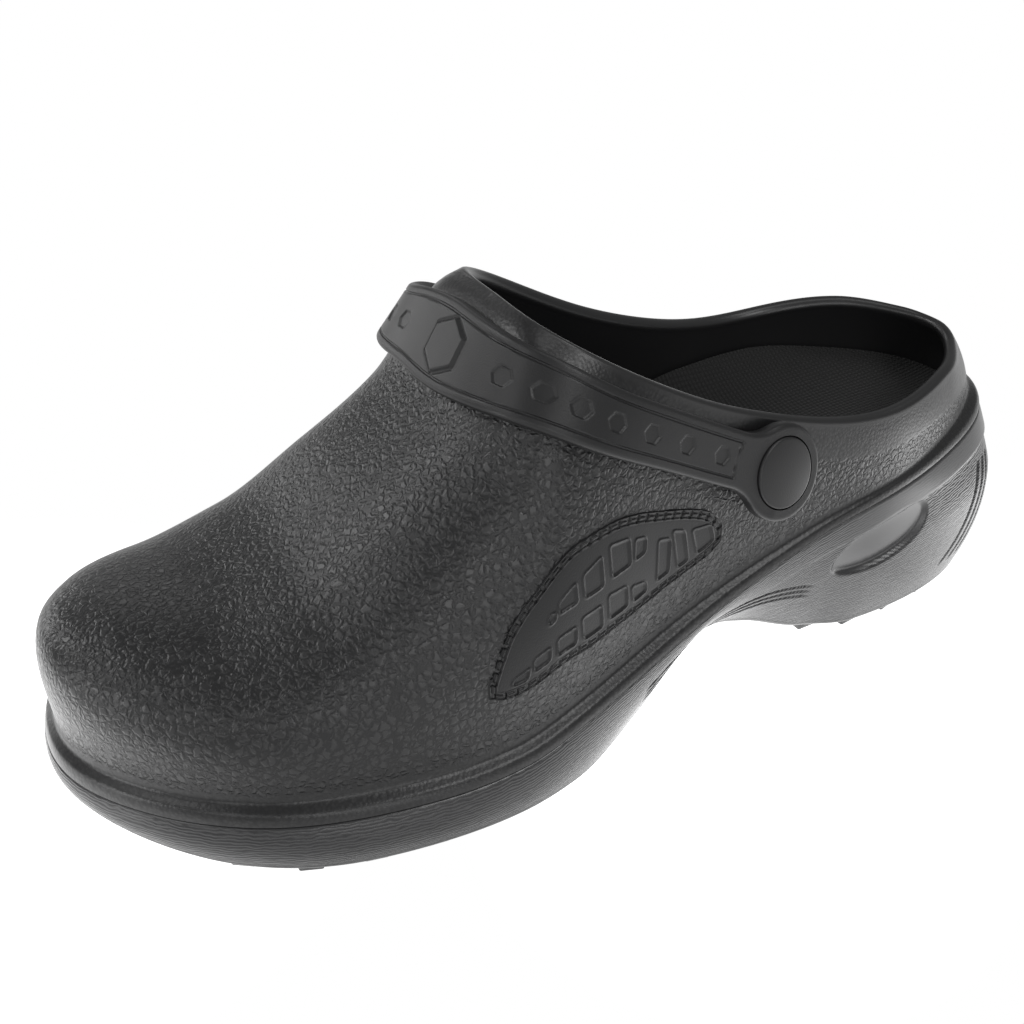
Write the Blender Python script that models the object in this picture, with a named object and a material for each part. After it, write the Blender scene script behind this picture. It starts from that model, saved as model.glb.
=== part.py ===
"""Moulded kitchen clog for the left foot: sole, upper, insole, strap and two rivets.

Lengths are in millimetres until solid() scales them to metres. The toe points to -X, the lateral
side is -Y, and the shoe stands on z = 0. A place round the shoe is u, from -pi at the toe along the
lateral side to 0 at the heel and on along the medial side to pi at the toe. A place along the shoe
is t, from 0 at the heel to 1 at the toe.
"""

import bmesh
import bpy
import numpy as np

LENGTH = 285.0
SHIFT = (-3.5, 2.14)
HEEL_FAN, TOE_FAN = 0.13, 0.80
COLLAR_FRONT = 0.585
WALL = 4.2
LIP = 2.0
SEAM_GAP = 0.35

SOCK_THICK = 4.0
SOCK_SIDE_GAP = 0.9
BED_SIDE_GAP = 0.7

BAND_HIGH, BAND_SLOPE = 7.5, 1.2
EDGE_IN, EDGE_UP = 2.6, 2.2
STUD_PITCH, STUD_SIZE, STUD_DEEP, STUD_EDGE = 17.0, 6.8, 2.4, 8.4
STUD_FLAT, STUD_ROOT, STUD_SLOPE, STUD_TOP = 3.4, 2.0, 2.0, 7.0
LUG_PITCH, LUG_SIZE, LUG_EDGE, LUG_TOP = 15.5, 6.3, 4.0, 5.4
GROOVE_R, GROOVE_STEP, GROOVE_COUNT = 0.8, 2.0, 3
ARCH_GROOVE_FROM, ARCH_GROOVE_TO, ARCH_GROOVE_ROUND = 0.285, 0.505, 75.0
ARCH_GROOVE_TOP_T, ARCH_GROOVE_TOP_Z = 0.372, 31.0
HEEL_GROOVE_U, HEEL_GROOVE_Z, HEEL_GROOVE_APART = (0.41, 0.61), (45.0, 14.0), 0.05
SCOOP_U, SCOOP_F, SCOOP_RISE, SCOOP_TILT = 0.94, 0.31, 0.29, 14.0
SCOOP_LONG, SCOOP_WIDE, SCOOP_DEEP = 19.0, 8.5, 3.4

STRAP_GAP, STRAP_THICK, STRAP_EDGE = 1.0, 4.0, 0.8
STRAP_HALF_TOP, STRAP_HALF_END, STRAP_TAPER, STRAP_TAPER_STOP = 10.9, 7.3, 3.4, 14.0
STRAP_CALM, STRAP_MIDDLE = 8.0, -3.0
STRAP_TILT, STRAP_LIFT, STRAP_TILT_FROM = np.radians(10.0), 1.7, 50.0
LUG_R, LUG_FILLET, LUG_TIP = 12.8, 14.0, 0.35
PLATE_R, PLATE_UP = 7.9, 0.8
CELL_R, CELL_DEEP = 2.7, 0.5
CELLS = (21.0, 30.0, 38.0, 47.0, 57.6, 69.5, 82.0)

DISC_R, DISC_THICK, DISC_CROWN, DISC_GAP, SEAT_DEEP = 9.4, 2.3, 0.5, 0.3, 2.2
SHANK_R, HOLE_R, HOLE_DEEP = 3.0, 3.3, 16.0
CAP_R, CAP_THICK, CAP_HOLE, CAP_GAP = 7.5, 3.6, 2.4, 1.7

PANEL_UP = 0.7

# One row per cross-section from heel to toe: half width and middle of the rim, height of the rim and
# of the sole's underside, how far the underside is tucked in, the crease above the flange (in and up),
# the roof of the upper, the collar and how much its sides differ, the lean of the wall at the collar,
# the two powers of the wall's curve, and its belly.
SECTION_COLUMNS = "t half mid rim bottom tuck base_in base_up roof collar skew lean flat steep belly"
SECTIONS = (
    (0.000, 0.0, 0.3, 59.0, 5.6, -3.0, 4.6, 4.8, 99.2, 79.4, 0.0, 5.6, 0.60, 0.79, 0.3),
    (0.030, 19.1, 0.4, 58.0, 4.2, -1.0, 4.4, 4.6, 99.4, 79.1, 1.2, 4.8, 0.59, 0.78, 0.3),
    (0.100, 30.5, 0.6, 55.1, 2.7, 3.0, 2.8, 4.0, 100.4, 79.7, 1.9, 1.6, 0.56, 0.76, 0.5),
    (0.200, 38.5, 1.2, 51.0, 2.5, 8.0, 1.4, 3.4, 103.5, 77.0, 1.0, 0.2, 0.54, 0.76, 0.8),
    (0.270, 39.0, 0.2, 47.3, 6.4, 10.5, 1.6, 3.5, 106.3, 78.4, 0.7, 0.0, 0.53, 0.76, 0.9),
    (0.350, 39.0, -1.4, 41.1, 17.2, 10.0, 2.1, 3.8, 111.3, 84.8, 0.6, 0.0, 0.53, 0.76, 0.9),
    (0.420, 41.2, -1.8, 35.4, 24.2, 7.2, 2.7, 4.1, 119.0, 92.8, 0.4, 0.0, 0.53, 0.80, 0.9),
    (0.500, 45.6, -2.4, 28.9, 10.6, 4.8, 3.4, 4.4, 124.0, 105.2, 0.2, 0.0, 0.54, 0.85, 0.9),
    (0.585, 50.0, -4.2, 23.0, 3.2, 2.2, 3.5, 4.5, 119.6, 119.6, 0.0, 0.0, 0.55, 0.89, 0.9),
    (0.650, 52.4, -4.6, 19.0, 2.5, 1.6, 3.5, 4.5, 96.6, 96.6, 0.0, 0.0, 0.57, 0.88, 1.1),
    (0.720, 53.8, -3.0, 17.8, 2.5, 1.4, 3.6, 4.5, 80.1, 80.1, 0.0, 0.0, 0.61, 0.84, 1.6),
    (0.800, 52.9, -0.4, 17.8, 2.6, 1.4, 3.6, 4.5, 63.0, 63.0, 0.0, 0.0, 0.64, 0.80, 2.4),
    (0.880, 47.2, 2.8, 17.8, 4.2, 1.2, 3.4, 4.8, 56.0, 56.0, 0.0, 0.0, 0.60, 0.76, 3.3),
    (0.950, 33.7, 7.0, 16.8, 6.8, 0.8, 3.1, 5.1, 57.7, 57.7, 0.0, 0.0, 0.51, 0.73, 4.2),
    (1.000, 0.0, 7.1, 15.7, 9.5, 0.6, 3.0, 5.3, 63.9, 63.9, 0.0, 0.0, 0.42, 0.71, 4.9),
)

# The top of the insole: its middle and its lateral and medial edges. Then the sole's side: how far
# it swells between rim and underside, and the depth of the step under its upper band.
BED_COLUMNS = "t middle lateral medial swell step"
BED = (
    (0.00, 61.5, 63.5, 63.5, 6.8, 0.9),
    (0.10, 60.5, 64.0, 66.0, 5.2, 0.9),
    (0.20, 58.5, 63.0, 67.5, 2.8, 0.7),
    (0.30, 53.5, 59.5, 67.0, 1.0, 0.2),
    (0.40, 46.0, 51.5, 60.5, 0.6, 0.0),
    (0.50, 37.0, 41.5, 49.5, 0.8, 0.0),
    (0.60, 29.0, 32.5, 37.0, 1.4, 0.0),
    (0.70, 24.5, 27.0, 29.0, 1.8, 0.0),
    (0.80, 23.0, 25.0, 25.5, 2.2, 0.0),
    (0.90, 22.7, 24.7, 24.8, 1.8, 0.0),
    (1.00, 22.5, 24.5, 24.5, 0.8, 0.0),
)

# The middle of the strap from a rivet to the top of the instep, on either side.
STRAP_COLUMNS = "phi t"
STRAP = (
    (18.5, 0.367), (28.4, 0.440), (33.2, 0.474), (39.5, 0.513), (46.4, 0.548),
    (53.5, 0.576), (61.9, 0.597), (73.4, 0.612), (90.0, 0.622),
)
STRAP_MEDIAL_AHEAD = 0.04

# The side panel, a leaf from its front tip to its rear end: lower and upper edge.
PANEL_COLUMNS = "t low high"
PANEL = (
    (0.675, 13.4, 15.6), (0.668, 12.2, 19.5), (0.654, 11.2, 24.5), (0.636, 10.4, 26.6),
    (0.610, 9.5, 27.0), (0.576, 8.4, 26.4), (0.548, 7.9, 25.4), (0.520, 7.4, 23.2),
    (0.491, 7.2, 20.2), (0.461, 7.1, 17.3), (0.434, 7.2, 14.0), (0.420, 8.0, 10.6),
)

COLOURS = {
    "sole": (0.030, 0.030, 0.031), "upper": (0.022, 0.022, 0.023), "insole": (0.012, 0.012, 0.012),
    "strap": (0.026, 0.026, 0.027), "button": (0.024, 0.024, 0.025), "cap": (0.024, 0.024, 0.025),
}


def columns(names, rows):
    return dict(zip(names.split(), np.array(rows, float).T))


def natural(xs, ys):
    """The natural cubic spline through the points, as a function."""
    n, h = len(xs), np.diff(xs)
    a, b = np.eye(n), np.zeros(n)
    for i in range(1, n - 1):
        a[i, i - 1:i + 2] = h[i - 1], 2 * (h[i - 1] + h[i]), h[i]
        b[i] = 6 * ((ys[i + 1] - ys[i]) / h[i] - (ys[i] - ys[i - 1]) / h[i - 1])
    m = np.linalg.solve(a, b)

    def at(x):
        x = np.asarray(x, float)
        i = np.clip(np.searchsorted(xs, x) - 1, 0, n - 2)
        lo, hi = x - xs[i], xs[i + 1] - x
        return (
            (m[i] * hi**3 + m[i + 1] * lo**3) / (6 * h[i])
            + (ys[i] / h[i] - m[i] * h[i] / 6) * hi
            + (ys[i + 1] / h[i] - m[i + 1] * h[i] / 6) * lo
        )

    return at


def steady(xs, ys):
    """A smooth curve through the points that never overshoots them, as a function."""
    h, d = np.diff(xs), np.diff(ys) / np.diff(xs)
    m = np.zeros(len(xs))
    same = d[:-1] * d[1:] > 0
    w1, w2 = (2 * h[1:] + h[:-1])[same], (h[1:] + 2 * h[:-1])[same]
    m[1:-1][same] = (w1 + w2) / (w1 / d[:-1][same] + w2 / d[1:][same])
    m[0], m[-1] = d[0], d[-1]

    def at(x):
        x = np.clip(np.asarray(x, float), xs[0], xs[-1])
        i = np.clip(np.searchsorted(xs, x) - 1, 0, len(xs) - 2)
        s = (x - xs[i]) / h[i]
        return (
            ys[i] * (1 + 2 * s) * (1 - s) ** 2 + ys[i + 1] * s * s * (3 - 2 * s)
            + h[i] * (m[i] * s * (1 - s) ** 2 + m[i + 1] * s * s * (s - 1))
        )

    return at


SECTION = columns(SECTION_COLUMNS, SECTIONS)
CURVES = {name: steady(SECTION["t"], SECTION[name]) for name in SECTION if name != "t"}
ANGLES = np.arccos(1 - 2 * SECTION["t"])
HALF, MID = natural(ANGLES, SECTION["half"]), natural(ANGLES, SECTION["mid"])
BEHIND = SECTION["t"] <= COLLAR_FRONT
COLLAR = natural(SECTION["t"][BEHIND], SECTION["collar"][BEHIND])
BED_TABLE = columns(BED_COLUMNS, BED)
CURVES.update({name: steady(BED_TABLE["t"], BED_TABLE[name]) for name in BED_TABLE if name != "t"})


def along(u):
    return (1 - np.cos(np.abs(u))) / 2


def t_at(x):
    return np.clip((LENGTH / 2 - x) / LENGTH, 0, 1)


def curve(name, u):
    return CURVES[name](along(u))


def rim(u):
    """The outline of the seam between sole and upper, seen from above."""
    u = (np.asarray(u, float) + np.pi) % (2 * np.pi) - np.pi
    y = MID(np.abs(u)) + np.sign(u) * HALF(np.abs(u))
    return np.stack([LENGTH / 2 - along(u) * LENGTH, y], -1)


def spine(u):
    """The point on the middle line that a rib at u runs to."""
    t = np.clip(along(u), HEEL_FAN, TOE_FAN)
    return np.stack([LENGTH / 2 - t * LENGTH, MID(np.arccos(1 - 2 * t))], -1)


def inward(u):
    d = rim(np.asarray(u) + 1e-3) - rim(np.asarray(u) - 1e-3)
    n = np.stack([-d[..., 1], d[..., 0]], -1)
    return n / np.linalg.norm(n, axis=-1, keepdims=True)


def inset(u, by):
    return rim(u) + inward(u) * np.asarray(by, float)[..., None]


def at_height(plan, z):
    return np.concatenate([plan, np.broadcast_to(z, plan.shape[:-1])[..., None]], -1)


def collar(u):
    return COLLAR(along(u)) + np.sign(u) * curve("skew", u)


def skin(u, phi, depth=0.0):
    """A point of the upper's wall: phi goes up from the crease to the ridge, depth into the wall."""
    u, phi = np.broadcast_arrays(np.asarray(u, float), np.asarray(phi, float))
    base, foot = inset(u, curve("base_in", u) + depth), spine(u)
    low = curve("rim", u) + curve("base_up", u)
    c, s = np.clip(np.cos(phi), 0, 1), np.sin(phi)
    span = np.linalg.norm(base - foot, axis=-1)
    reach = c ** curve("flat", u) + curve("belly", u) / span * np.sin(2 * phi) * c
    plan = foot + (base - foot) * reach[..., None]
    z = low + (CURVES["roof"](t_at(plan[..., 0])) - depth - low) * s ** curve("steep", u)
    up = np.clip((z - low) / np.maximum(collar(u) - low, 1), 0, 1)
    return at_height(plan + inward(u) * (curve("lean", u) * up**1.5)[..., None], z)


def top_phi(u):
    """Where each rib ends: at the collar, or on the ridge in front of it."""
    fine = np.linspace(0, np.pi / 2, 181)
    ends = np.full(len(u), np.pi / 2)
    for i in np.flatnonzero(along(u) < COLLAR_FRONT - 1e-6):
        ends[i] = np.interp(collar(u[i]), skin(u[i], fine)[:, 2], fine)
    return ends


def ribs(heel, arch, front, vamp, toe):
    """Rib angles round the shoe, with the number of steps in each stretch of one side."""
    angle = lambda t: np.arccos(1 - 2 * np.asarray(t, float))
    side = [np.linspace(0, angle(0.3), heel + 1)[:-1], np.linspace(angle(0.3), angle(0.5), arch + 1)[:-1]]
    side.append(angle(COLLAR_FRONT - (COLLAR_FRONT - 0.5) * np.linspace(1, 0, front + 1)[:-1] ** 2))
    side.append(np.linspace(angle(COLLAR_FRONT), angle(TOE_FAN), vamp + 1)[:-1])
    side.append(np.linspace(angle(TOE_FAN), np.pi, toe + 1))
    side = np.concatenate(side)
    return np.concatenate([-side[:0:-1], side[:-1]])


def solid(name, points, faces, colour=None, helper=False):
    """A welded closed mesh in metres, its faces turned outwards."""
    mesh = bmesh.new()
    points = (np.asarray(points, float) + (*SHIFT, 0)) / 1000
    verts = [mesh.verts.new(p) for p in points]
    for face in faces:
        mesh.faces.new([verts[i] for i in face])
    bmesh.ops.remove_doubles(mesh, verts=mesh.verts, dist=2e-6)
    bmesh.ops.dissolve_degenerate(mesh, dist=1e-7, edges=mesh.edges)
    bmesh.ops.recalc_face_normals(mesh, faces=mesh.faces)
    data = bpy.data.meshes.new(name)
    mesh.to_mesh(data)
    mesh.free()
    obj = bpy.data.objects.new(name, data)
    bpy.context.scene.collection.objects.link(obj)
    if helper:
        obj.hide_render = True
        obj.display_type = "WIRE"
    else:
        material = bpy.data.materials.new(name)
        material.use_nodes = True
        shader = material.node_tree.nodes["Principled BSDF"]
        shader.inputs["Base Color"].default_value = (*COLOURS[colour or name], 1)
        shader.inputs["Roughness"].default_value = 0.5
        data.materials.append(material)
    return obj


def combine(obj, operation, other):
    modifier = obj.modifiers.new(f"{operation.lower()} {other.name}", "BOOLEAN")
    modifier.operation, modifier.object, modifier.solver = operation, other, "EXACT"


def grid_faces(count, rows, keep=lambda i, j: True, closed=True):
    """Quads of a grid of points stored rib by rib; the ribs always close round the shoe."""
    faces = []
    for i in range(count):
        for j in range(rows if closed else rows - 1):
            if keep(i, j):
                a, b = i * rows, (i + 1) % count * rows
                k = (j + 1) % rows
                faces.append((a + j, b + j, b + k, a + k))
    return faces


def loft(loops):
    """Points and faces of a closed body whose first and last loops each shrink to the middle line."""
    grid = np.stack(loops, 1)
    count, rows = grid.shape[:2]
    return grid.reshape(-1, 3), grid_faces(count, rows, closed=False)


def prisms(frames, radius, low, high, sides=6, turn=0.0):
    """Prisms that stand on the given frames (origin, along, across, up)."""
    points, faces = [], []
    angles = turn + np.arange(sides) * 2 * np.pi / sides
    for origin, e1, e2, up in frames:
        ring = radius * (np.cos(angles)[:, None] * e1 + np.sin(angles)[:, None] * e2)
        start = len(points)
        points += [*(origin + up * low + ring), *(origin + up * high + ring)]
        faces += [range(start, start + sides), range(start + sides, start + 2 * sides)]
        for i in range(sides):
            k = (i + 1) % sides
            faces.append((start + i, start + k, start + sides + k, start + sides + i))
    return np.array(points), faces


def turned(frame, profile, sides=16):
    """A turned body about the frame's up axis, from (radius, height) points."""
    origin, e1, e2, up = frame
    angles = np.arange(sides) * 2 * np.pi / sides
    round_ = np.cos(angles)[:, None] * e1 + np.sin(angles)[:, None] * e2
    loops = [origin + up * h + r * round_ for r, h in profile]
    return loft(loops)


def tube(path, radius, sides=6):
    """A closed round bar along a path."""
    path = np.asarray(path, float)
    along_ = np.gradient(path, axis=0)
    along_ /= np.linalg.norm(along_, axis=1, keepdims=True)
    helper = np.cross(along_, (0, 0, 1.0))
    helper /= np.linalg.norm(helper, axis=1, keepdims=True)
    other = np.cross(along_, helper)
    angles = np.arange(sides) * 2 * np.pi / sides
    rings = path[:, None] + radius * (
        np.cos(angles)[:, None] * helper[:, None] + np.sin(angles)[:, None] * other[:, None]
    )
    faces = [range(sides), range((len(path) - 1) * sides, len(path) * sides)]
    for i in range(len(path) - 1):
        for j in range(sides):
            k = (j + 1) % sides
            faces.append((i * sides + j, i * sides + k, (i + 1) * sides + k, (i + 1) * sides + j))
    return rings.reshape(-1, 3), faces


def bed_height(u, share, drop):
    """Height of the insole's top between the middle line (share 0) and its edge (share 1)."""
    edge = np.where(np.sign(u) < 0, curve("lateral", u), curve("medial", u))
    near_end = np.clip(1 - np.abs(np.sin(u)) / 0.35, 0, 1) ** 2
    edge = edge * (1 - near_end) + (curve("lateral", u) + curve("medial", u)) / 2 * near_end
    middle = CURVES["middle"](np.clip(along(u), HEEL_FAN, TOE_FAN))
    return middle + (edge - middle) * share**2.2 - drop


def bed_loops(u, edge_in, shares, drop):
    edge, foot = inset(u, edge_in), spine(u)
    return [at_height(foot + (edge - foot) * s, bed_height(u, s, drop)) for s in shares]


def side_point(u, f):
    """A point of the sole's side: f goes from the rim (0) to the underside (1)."""
    u, f = np.broadcast_arrays(np.asarray(u, float), np.asarray(f, float))
    high = curve("rim", u)
    z = high + (curve("bottom", u) - high) * f
    by = curve("tuck", u) * f**1.4 - curve("swell", u) * np.sin(np.pi * np.clip(f, 0, 1)) ** 0.9
    return at_height(inset(u, by), z)


def build_sole(u):
    high, low = curve("rim", u), curve("bottom", u)
    tall = high - low
    band = np.clip(BAND_HIGH / tall, 0, 0.45)
    step = curve("step", u)
    notch = inward(u) * step[:, None]

    def side(f, cut=0.0):
        p = side_point(u, f)
        p[:, :2] += notch * cut
        return p

    edge = inset(u, curve("tuck", u) + EDGE_IN)
    foot = spine(u)
    under = []
    for share in (0.0, 0.6, 1.0):
        plan = foot + (edge - foot) * share
        under.append(at_height(plan, CURVES["bottom"](t_at(plan[:, 0]))))
    corner, shelf = 1 - EDGE_UP / tall, band + BAND_SLOPE / tall
    lower = [side(corner + (shelf - corner) * share) for share in (0.0, 0.35, 0.7)]
    loops = under + lower + [side(shelf, 1.0), side(band)]
    loops += [side(0.35 * band), at_height(rim(u), high)]
    ring = curve("base_in", u) + WALL + BED_SIDE_GAP
    drop = SOCK_THICK + SEAM_GAP
    loops.append(at_height(inset(u, ring - 0.2), high))
    loops += bed_loops(u, ring, (1.0, 0.8, 0.45, 0.0), drop)
    sole = solid("sole", *loft(loops))

    combine(sole, "UNION", solid("stud_joiner", *studs(), helper=True))
    for side in (-1, 1):
        name = "lateral" if side < 0 else "medial"
        combine(sole, "DIFFERENCE", solid(f"scoop_cutter_{name}", *scoop(side), helper=True))
        combine(sole, "DIFFERENCE", solid(f"groove_cutter_{name}", *grooves(side), helper=True))
    return sole


def side_at(u, z):
    """A point of the sole's side at a given height."""
    high = curve("rim", u)
    return side_point(u, (high - z) / (high - curve("bottom", u)))


def grooves(side):
    """Thin bars along the sole's side: arcs in the arch, and lines that sweep round the heel."""
    t = np.linspace(ARCH_GROOVE_FROM, ARCH_GROOVE_TO, 8)
    arch_z = ARCH_GROOVE_TOP_Z - ((t - ARCH_GROOVE_TOP_T) * LENGTH) ** 2 / (2 * ARCH_GROOVE_ROUND)
    share = np.linspace(0, 1, 5)
    heel_z = HEEL_GROOVE_Z[0] + (HEEL_GROOVE_Z[1] - HEEL_GROOVE_Z[0]) * share
    points, faces = [], []
    for i in range(GROOVE_COUNT):
        heel_u = HEEL_GROOVE_U[0] + (HEEL_GROOVE_U[1] - HEEL_GROOVE_U[0]) * share**1.6 - HEEL_GROOVE_APART * i
        paths = [side_at(side * np.arccos(1 - 2 * t), arch_z - GROOVE_STEP * i), side_at(side * heel_u, heel_z)]
        for path in paths:
            p, f = tube(path, GROOVE_R, 4)
            faces += [[k + len(points) for k in face] for face in f]
            points += list(p)
    return points, faces


def scoop(side):
    """A long oval dish in the side of the heel, deeper along its lower lip."""
    u = side * SCOOP_U
    origin = side_point(u, SCOOP_F)
    run = side_point(u - side * 0.05, SCOOP_F) - side_point(u + side * 0.05, SCOOP_F)
    run[2] = SCOOP_RISE * np.linalg.norm(run[:2])
    run /= np.linalg.norm(run)
    fall = side_point(u, SCOOP_F + 0.05) - side_point(u, SCOOP_F - 0.05)
    out = np.cross(run, fall) * -side
    out /= np.linalg.norm(out)
    out *= np.sign(out[1] * side)
    down = np.cross(run, out)
    down *= -np.sign(down[2])
    tilt = np.radians(SCOOP_TILT)
    down, out = down * np.cos(tilt) - out * np.sin(tilt), out * np.cos(tilt) + down * np.sin(tilt)
    loops = []
    round_ = np.linspace(0, 2 * np.pi, 17)[:-1]
    for high in np.linspace(0, np.pi, 8):
        ring = np.cos(round_)[:, None] * run * SCOOP_LONG + np.sin(round_)[:, None] * down * SCOOP_WIDE
        loops.append(origin + ring * np.sin(high) - out * SCOOP_DEEP * np.cos(high))
    return loft(loops)


def studs():
    """Six-sided studs inside the tread and square lugs round its edge; in the flat all end on z = 0."""
    spots = []
    for row in range(-4, 5):
        for column in range(-9, 10):
            x, y = (column + row % 2 / 2) * STUD_PITCH, row * STUD_PITCH * 3**0.5 / 2
            if stud_fits(x, y):
                spots.append((x, y, np.eye(3)[0], STUD_SIZE, 6))
    fine = np.linspace(-np.pi, np.pi, 1441)
    line = inset(fine, curve("tuck", fine) + LUG_EDGE + LUG_SIZE / 2)
    far = np.concatenate([[0], np.cumsum(np.linalg.norm(np.diff(line, axis=0), axis=1))])
    for s in np.arange(LUG_PITCH / 2, far[-1], far[-1] / round(far[-1] / LUG_PITCH)):
        u = np.interp(s, far, fine)
        x, y = np.interp(s, far, line[:, 0]), np.interp(s, far, line[:, 1])
        if curve("bottom", u) < LUG_TOP:
            spots.append((x, y, at_height(inward(u), 0), LUG_SIZE / 2**0.5, 4))
    points, faces = [], []
    for x, y, across, size, sides in spots:
        z = CURVES["bottom"](t_at(x))
        low = z - STUD_DEEP if z > STUD_FLAT else 0
        frame = (np.array((x, y, 0)), across, np.cross((0, 0, 1.0), across), np.array((0, 0, 1.0)))
        p, f = prisms([frame], size, low, z + STUD_ROOT, sides, np.pi / sides)
        faces += [[i + len(points) for i in face] for face in f]
        points += list(p)
    return points, faces


def stud_fits(x, y):
    """True where a stud lies inside the tucked outline, on ground that is nearly level."""
    t = t_at(np.array([x - STUD_SIZE, x, x + STUD_SIZE]))
    ground = CURVES["bottom"](t)
    if np.ptp(ground) > STUD_SLOPE or ground.max() > STUD_TOP or np.ptp(t) < STUD_SIZE / LENGTH:
        return False
    angle = np.arccos(1 - 2 * t)
    room = HALF(angle) - CURVES["tuck"](t) - EDGE_IN - STUD_EDGE - STUD_SIZE
    return bool((np.abs(y - MID(angle)) < room).all())


def build_insole(u):
    by = curve("base_in", u) + WALL + SOCK_SIDE_GAP
    top = bed_loops(u, by, (0.0, 0.45, 0.8, 0.97, 1.0), 0.0)
    top[-1][:, 2] -= 0.6
    low = bed_loops(u, by, (1.0, 0.8, 0.45, 0.0), SOCK_THICK)
    return solid("insole", *loft(top + low))


def build_upper(u):
    phi = top_phi(u)
    open_ = along(u) < COLLAR_FRONT + 1e-6
    high = curve("rim", u) + SEAM_GAP
    crease_in, crease_up = curve("base_in", u), curve("base_up", u) - SEAM_GAP
    rows = [at_height(inset(u, 0 * u), high), at_height(inset(u, 0.06 * crease_in), high + 0.5 * crease_up)]
    rows.append(at_height(inset(u, 0.42 * crease_in), high + 0.86 * crease_up))
    outer = (0, 0.06, 0.14, 0.25, 0.37, 0.5, 0.63, 0.76, 0.88, 1)
    rows += [skin(u, phi * f) for f in outer]
    ridge = len(rows) - 1
    inner = [skin(u, phi * f, WALL) for f in (1, 0.8, 0.58, 0.36, 0.14, 0)]
    rows += lip_rows(u, open_, rows[-1], inner[0])
    first_inner = len(rows)
    rows += inner
    rows.append(at_height(inset(u, crease_in + WALL), high))
    grid = np.stack(rows, 1)
    count = len(u)

    def keep(i, j):
        return (open_[i] and open_[(i + 1) % count]) or not ridge <= j < first_inner

    upper = solid("upper", grid.reshape(-1, 3), grid_faces(count, len(rows), keep))
    for side in (-1, 1):
        combine(upper, "UNION", panel(side))
    return upper


def lip_rows(u, open_, outer, inner):
    """The rounded lip between the outer and inner collar edges."""
    ends = np.flatnonzero(open_)
    rows = [outer.copy() for _ in range(3)]
    edge_out, edge_in = outer[ends], inner[ends]
    run = np.gradient(edge_out, axis=0)
    run[0] = run[-1] = (0, -1.0, 0)
    out = np.cross(run, edge_in - edge_out)
    out /= np.linalg.norm(out, axis=1, keepdims=True)
    out *= np.sign(out[len(out) // 2, 2])
    for row, angle in zip(rows, np.radians((45, 90, 135))):
        half = (edge_out - edge_in) / 2
        row[ends] = edge_in + half * (1 + np.cos(angle)) + out * LIP * np.sin(angle)
    return rows


def panel(side):
    """The leaf on the side of the upper, as a thin plate sunk into the wall."""
    table = columns(PANEL_COLUMNS, PANEL)
    t = np.interp(np.linspace(0, len(PANEL) - 1, 23), np.arange(len(PANEL)), table["t"])
    spot = -table["t"]
    low, high = steady(spot, table["low"])(-t), steady(spot, table["high"])(-t)
    u = side * np.arccos(1 - 2 * (t + (STRAP_MEDIAL_AHEAD if side > 0 else 0)))
    shares = np.linspace(0, 1, 5)
    layers = []
    for depth in (-PANEL_UP, 1.6):
        layers.append([skin(u, np.radians(low + (high - low) * s), depth) for s in shares])
    loop = layers[0] + layers[1][::-1]
    grid = np.stack(loop, 1)
    n, rows = grid.shape[:2]
    faces = []
    for i in range(n - 1):
        for j in range(rows):
            k = (j + 1) % rows
            faces.append((i * rows + j, (i + 1) * rows + j, (i + 1) * rows + k, i * rows + k))
    half = len(shares)
    for i in (0, n - 1):
        for j in range(half - 1):
            faces.append([i * rows + a for a in (j, j + 1, rows - 2 - j, rows - 1 - j)])
    return solid(f"panel_joiner_{'lateral' if side < 0 else 'medial'}", grid.reshape(-1, 3), faces, helper=True)


class StrapPath:
    """The strap's middle line over the instep, measured from the ridge: lateral distances are negative."""

    def __init__(self):
        table = columns(STRAP_COLUMNS, STRAP)
        t_of = natural(table["phi"], table["t"])
        first, last = table["phi"][0], table["phi"][-1]
        phi = last - (last - first) * np.linspace(1, 0, 90) ** 2
        u = np.arccos(1 - 2 * t_of(phi))
        phi = np.radians(phi)
        ahead = STRAP_MEDIAL_AHEAD * (np.pi / 2 - phi) / (np.pi / 2 - phi[0])
        v = np.arccos(1 - 2 * (along(u) + ahead))
        lateral, medial = skin(-u, phi), skin(v, phi)[::-1]
        points = np.concatenate([lateral, medial[1:]])
        slope = np.concatenate([
            skin(-u - 0.01, phi) - skin(-u + 0.01, phi), (skin(v + 0.01, phi) - skin(v - 0.01, phi))[::-1][1:],
        ])
        far = np.concatenate([[0], np.cumsum(np.linalg.norm(np.diff(points, axis=0), axis=1))])
        at = far - far[len(lateral) - 1]
        normal = np.cross(np.gradient(points, at, axis=0), slope)
        normal *= np.sign(normal[len(lateral) - 1, 2]) / np.linalg.norm(normal, axis=1, keepdims=True)
        calm = []
        for s in at:
            near = np.sqrt(np.exp(-((at - s) / STRAP_CALM) ** 2 / 2) * np.gradient(at))
            _, run, point = np.polyfit(at - s, points, 2, w=near)
            calm.append([point, run, np.polyfit(at - s, normal, 1, w=near)[1]])
        self.at, self.calm, self.ends = at, np.array(calm), (at[0], at[-1])

    def frame(self, s):
        """Origin, direction along, direction across and direction out at a distance s.

        Towards the rivets the strap stands off the wall at its lower edge, so it is lifted and tilted there.
        """
        inside = np.clip(s, *self.ends)
        origin, run, out = [
            np.array([np.interp(inside, self.at, column) for column in self.calm[:, k].T]) for k in range(3)
        ]
        run /= np.linalg.norm(run)
        out -= run * (out @ run)
        out /= np.linalg.norm(out)
        end = self.ends[1] if inside > 0 else -self.ends[0]
        share = np.clip((abs(inside) - STRAP_TILT_FROM) / (end - STRAP_TILT_FROM), 0, 1) ** 2
        origin += out * STRAP_LIFT * share + run * (s - inside)
        out = out * np.cos(STRAP_TILT * share) - np.cross(out, run) * np.sin(STRAP_TILT * share)
        return origin, run, np.cross(out, run), out


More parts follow.
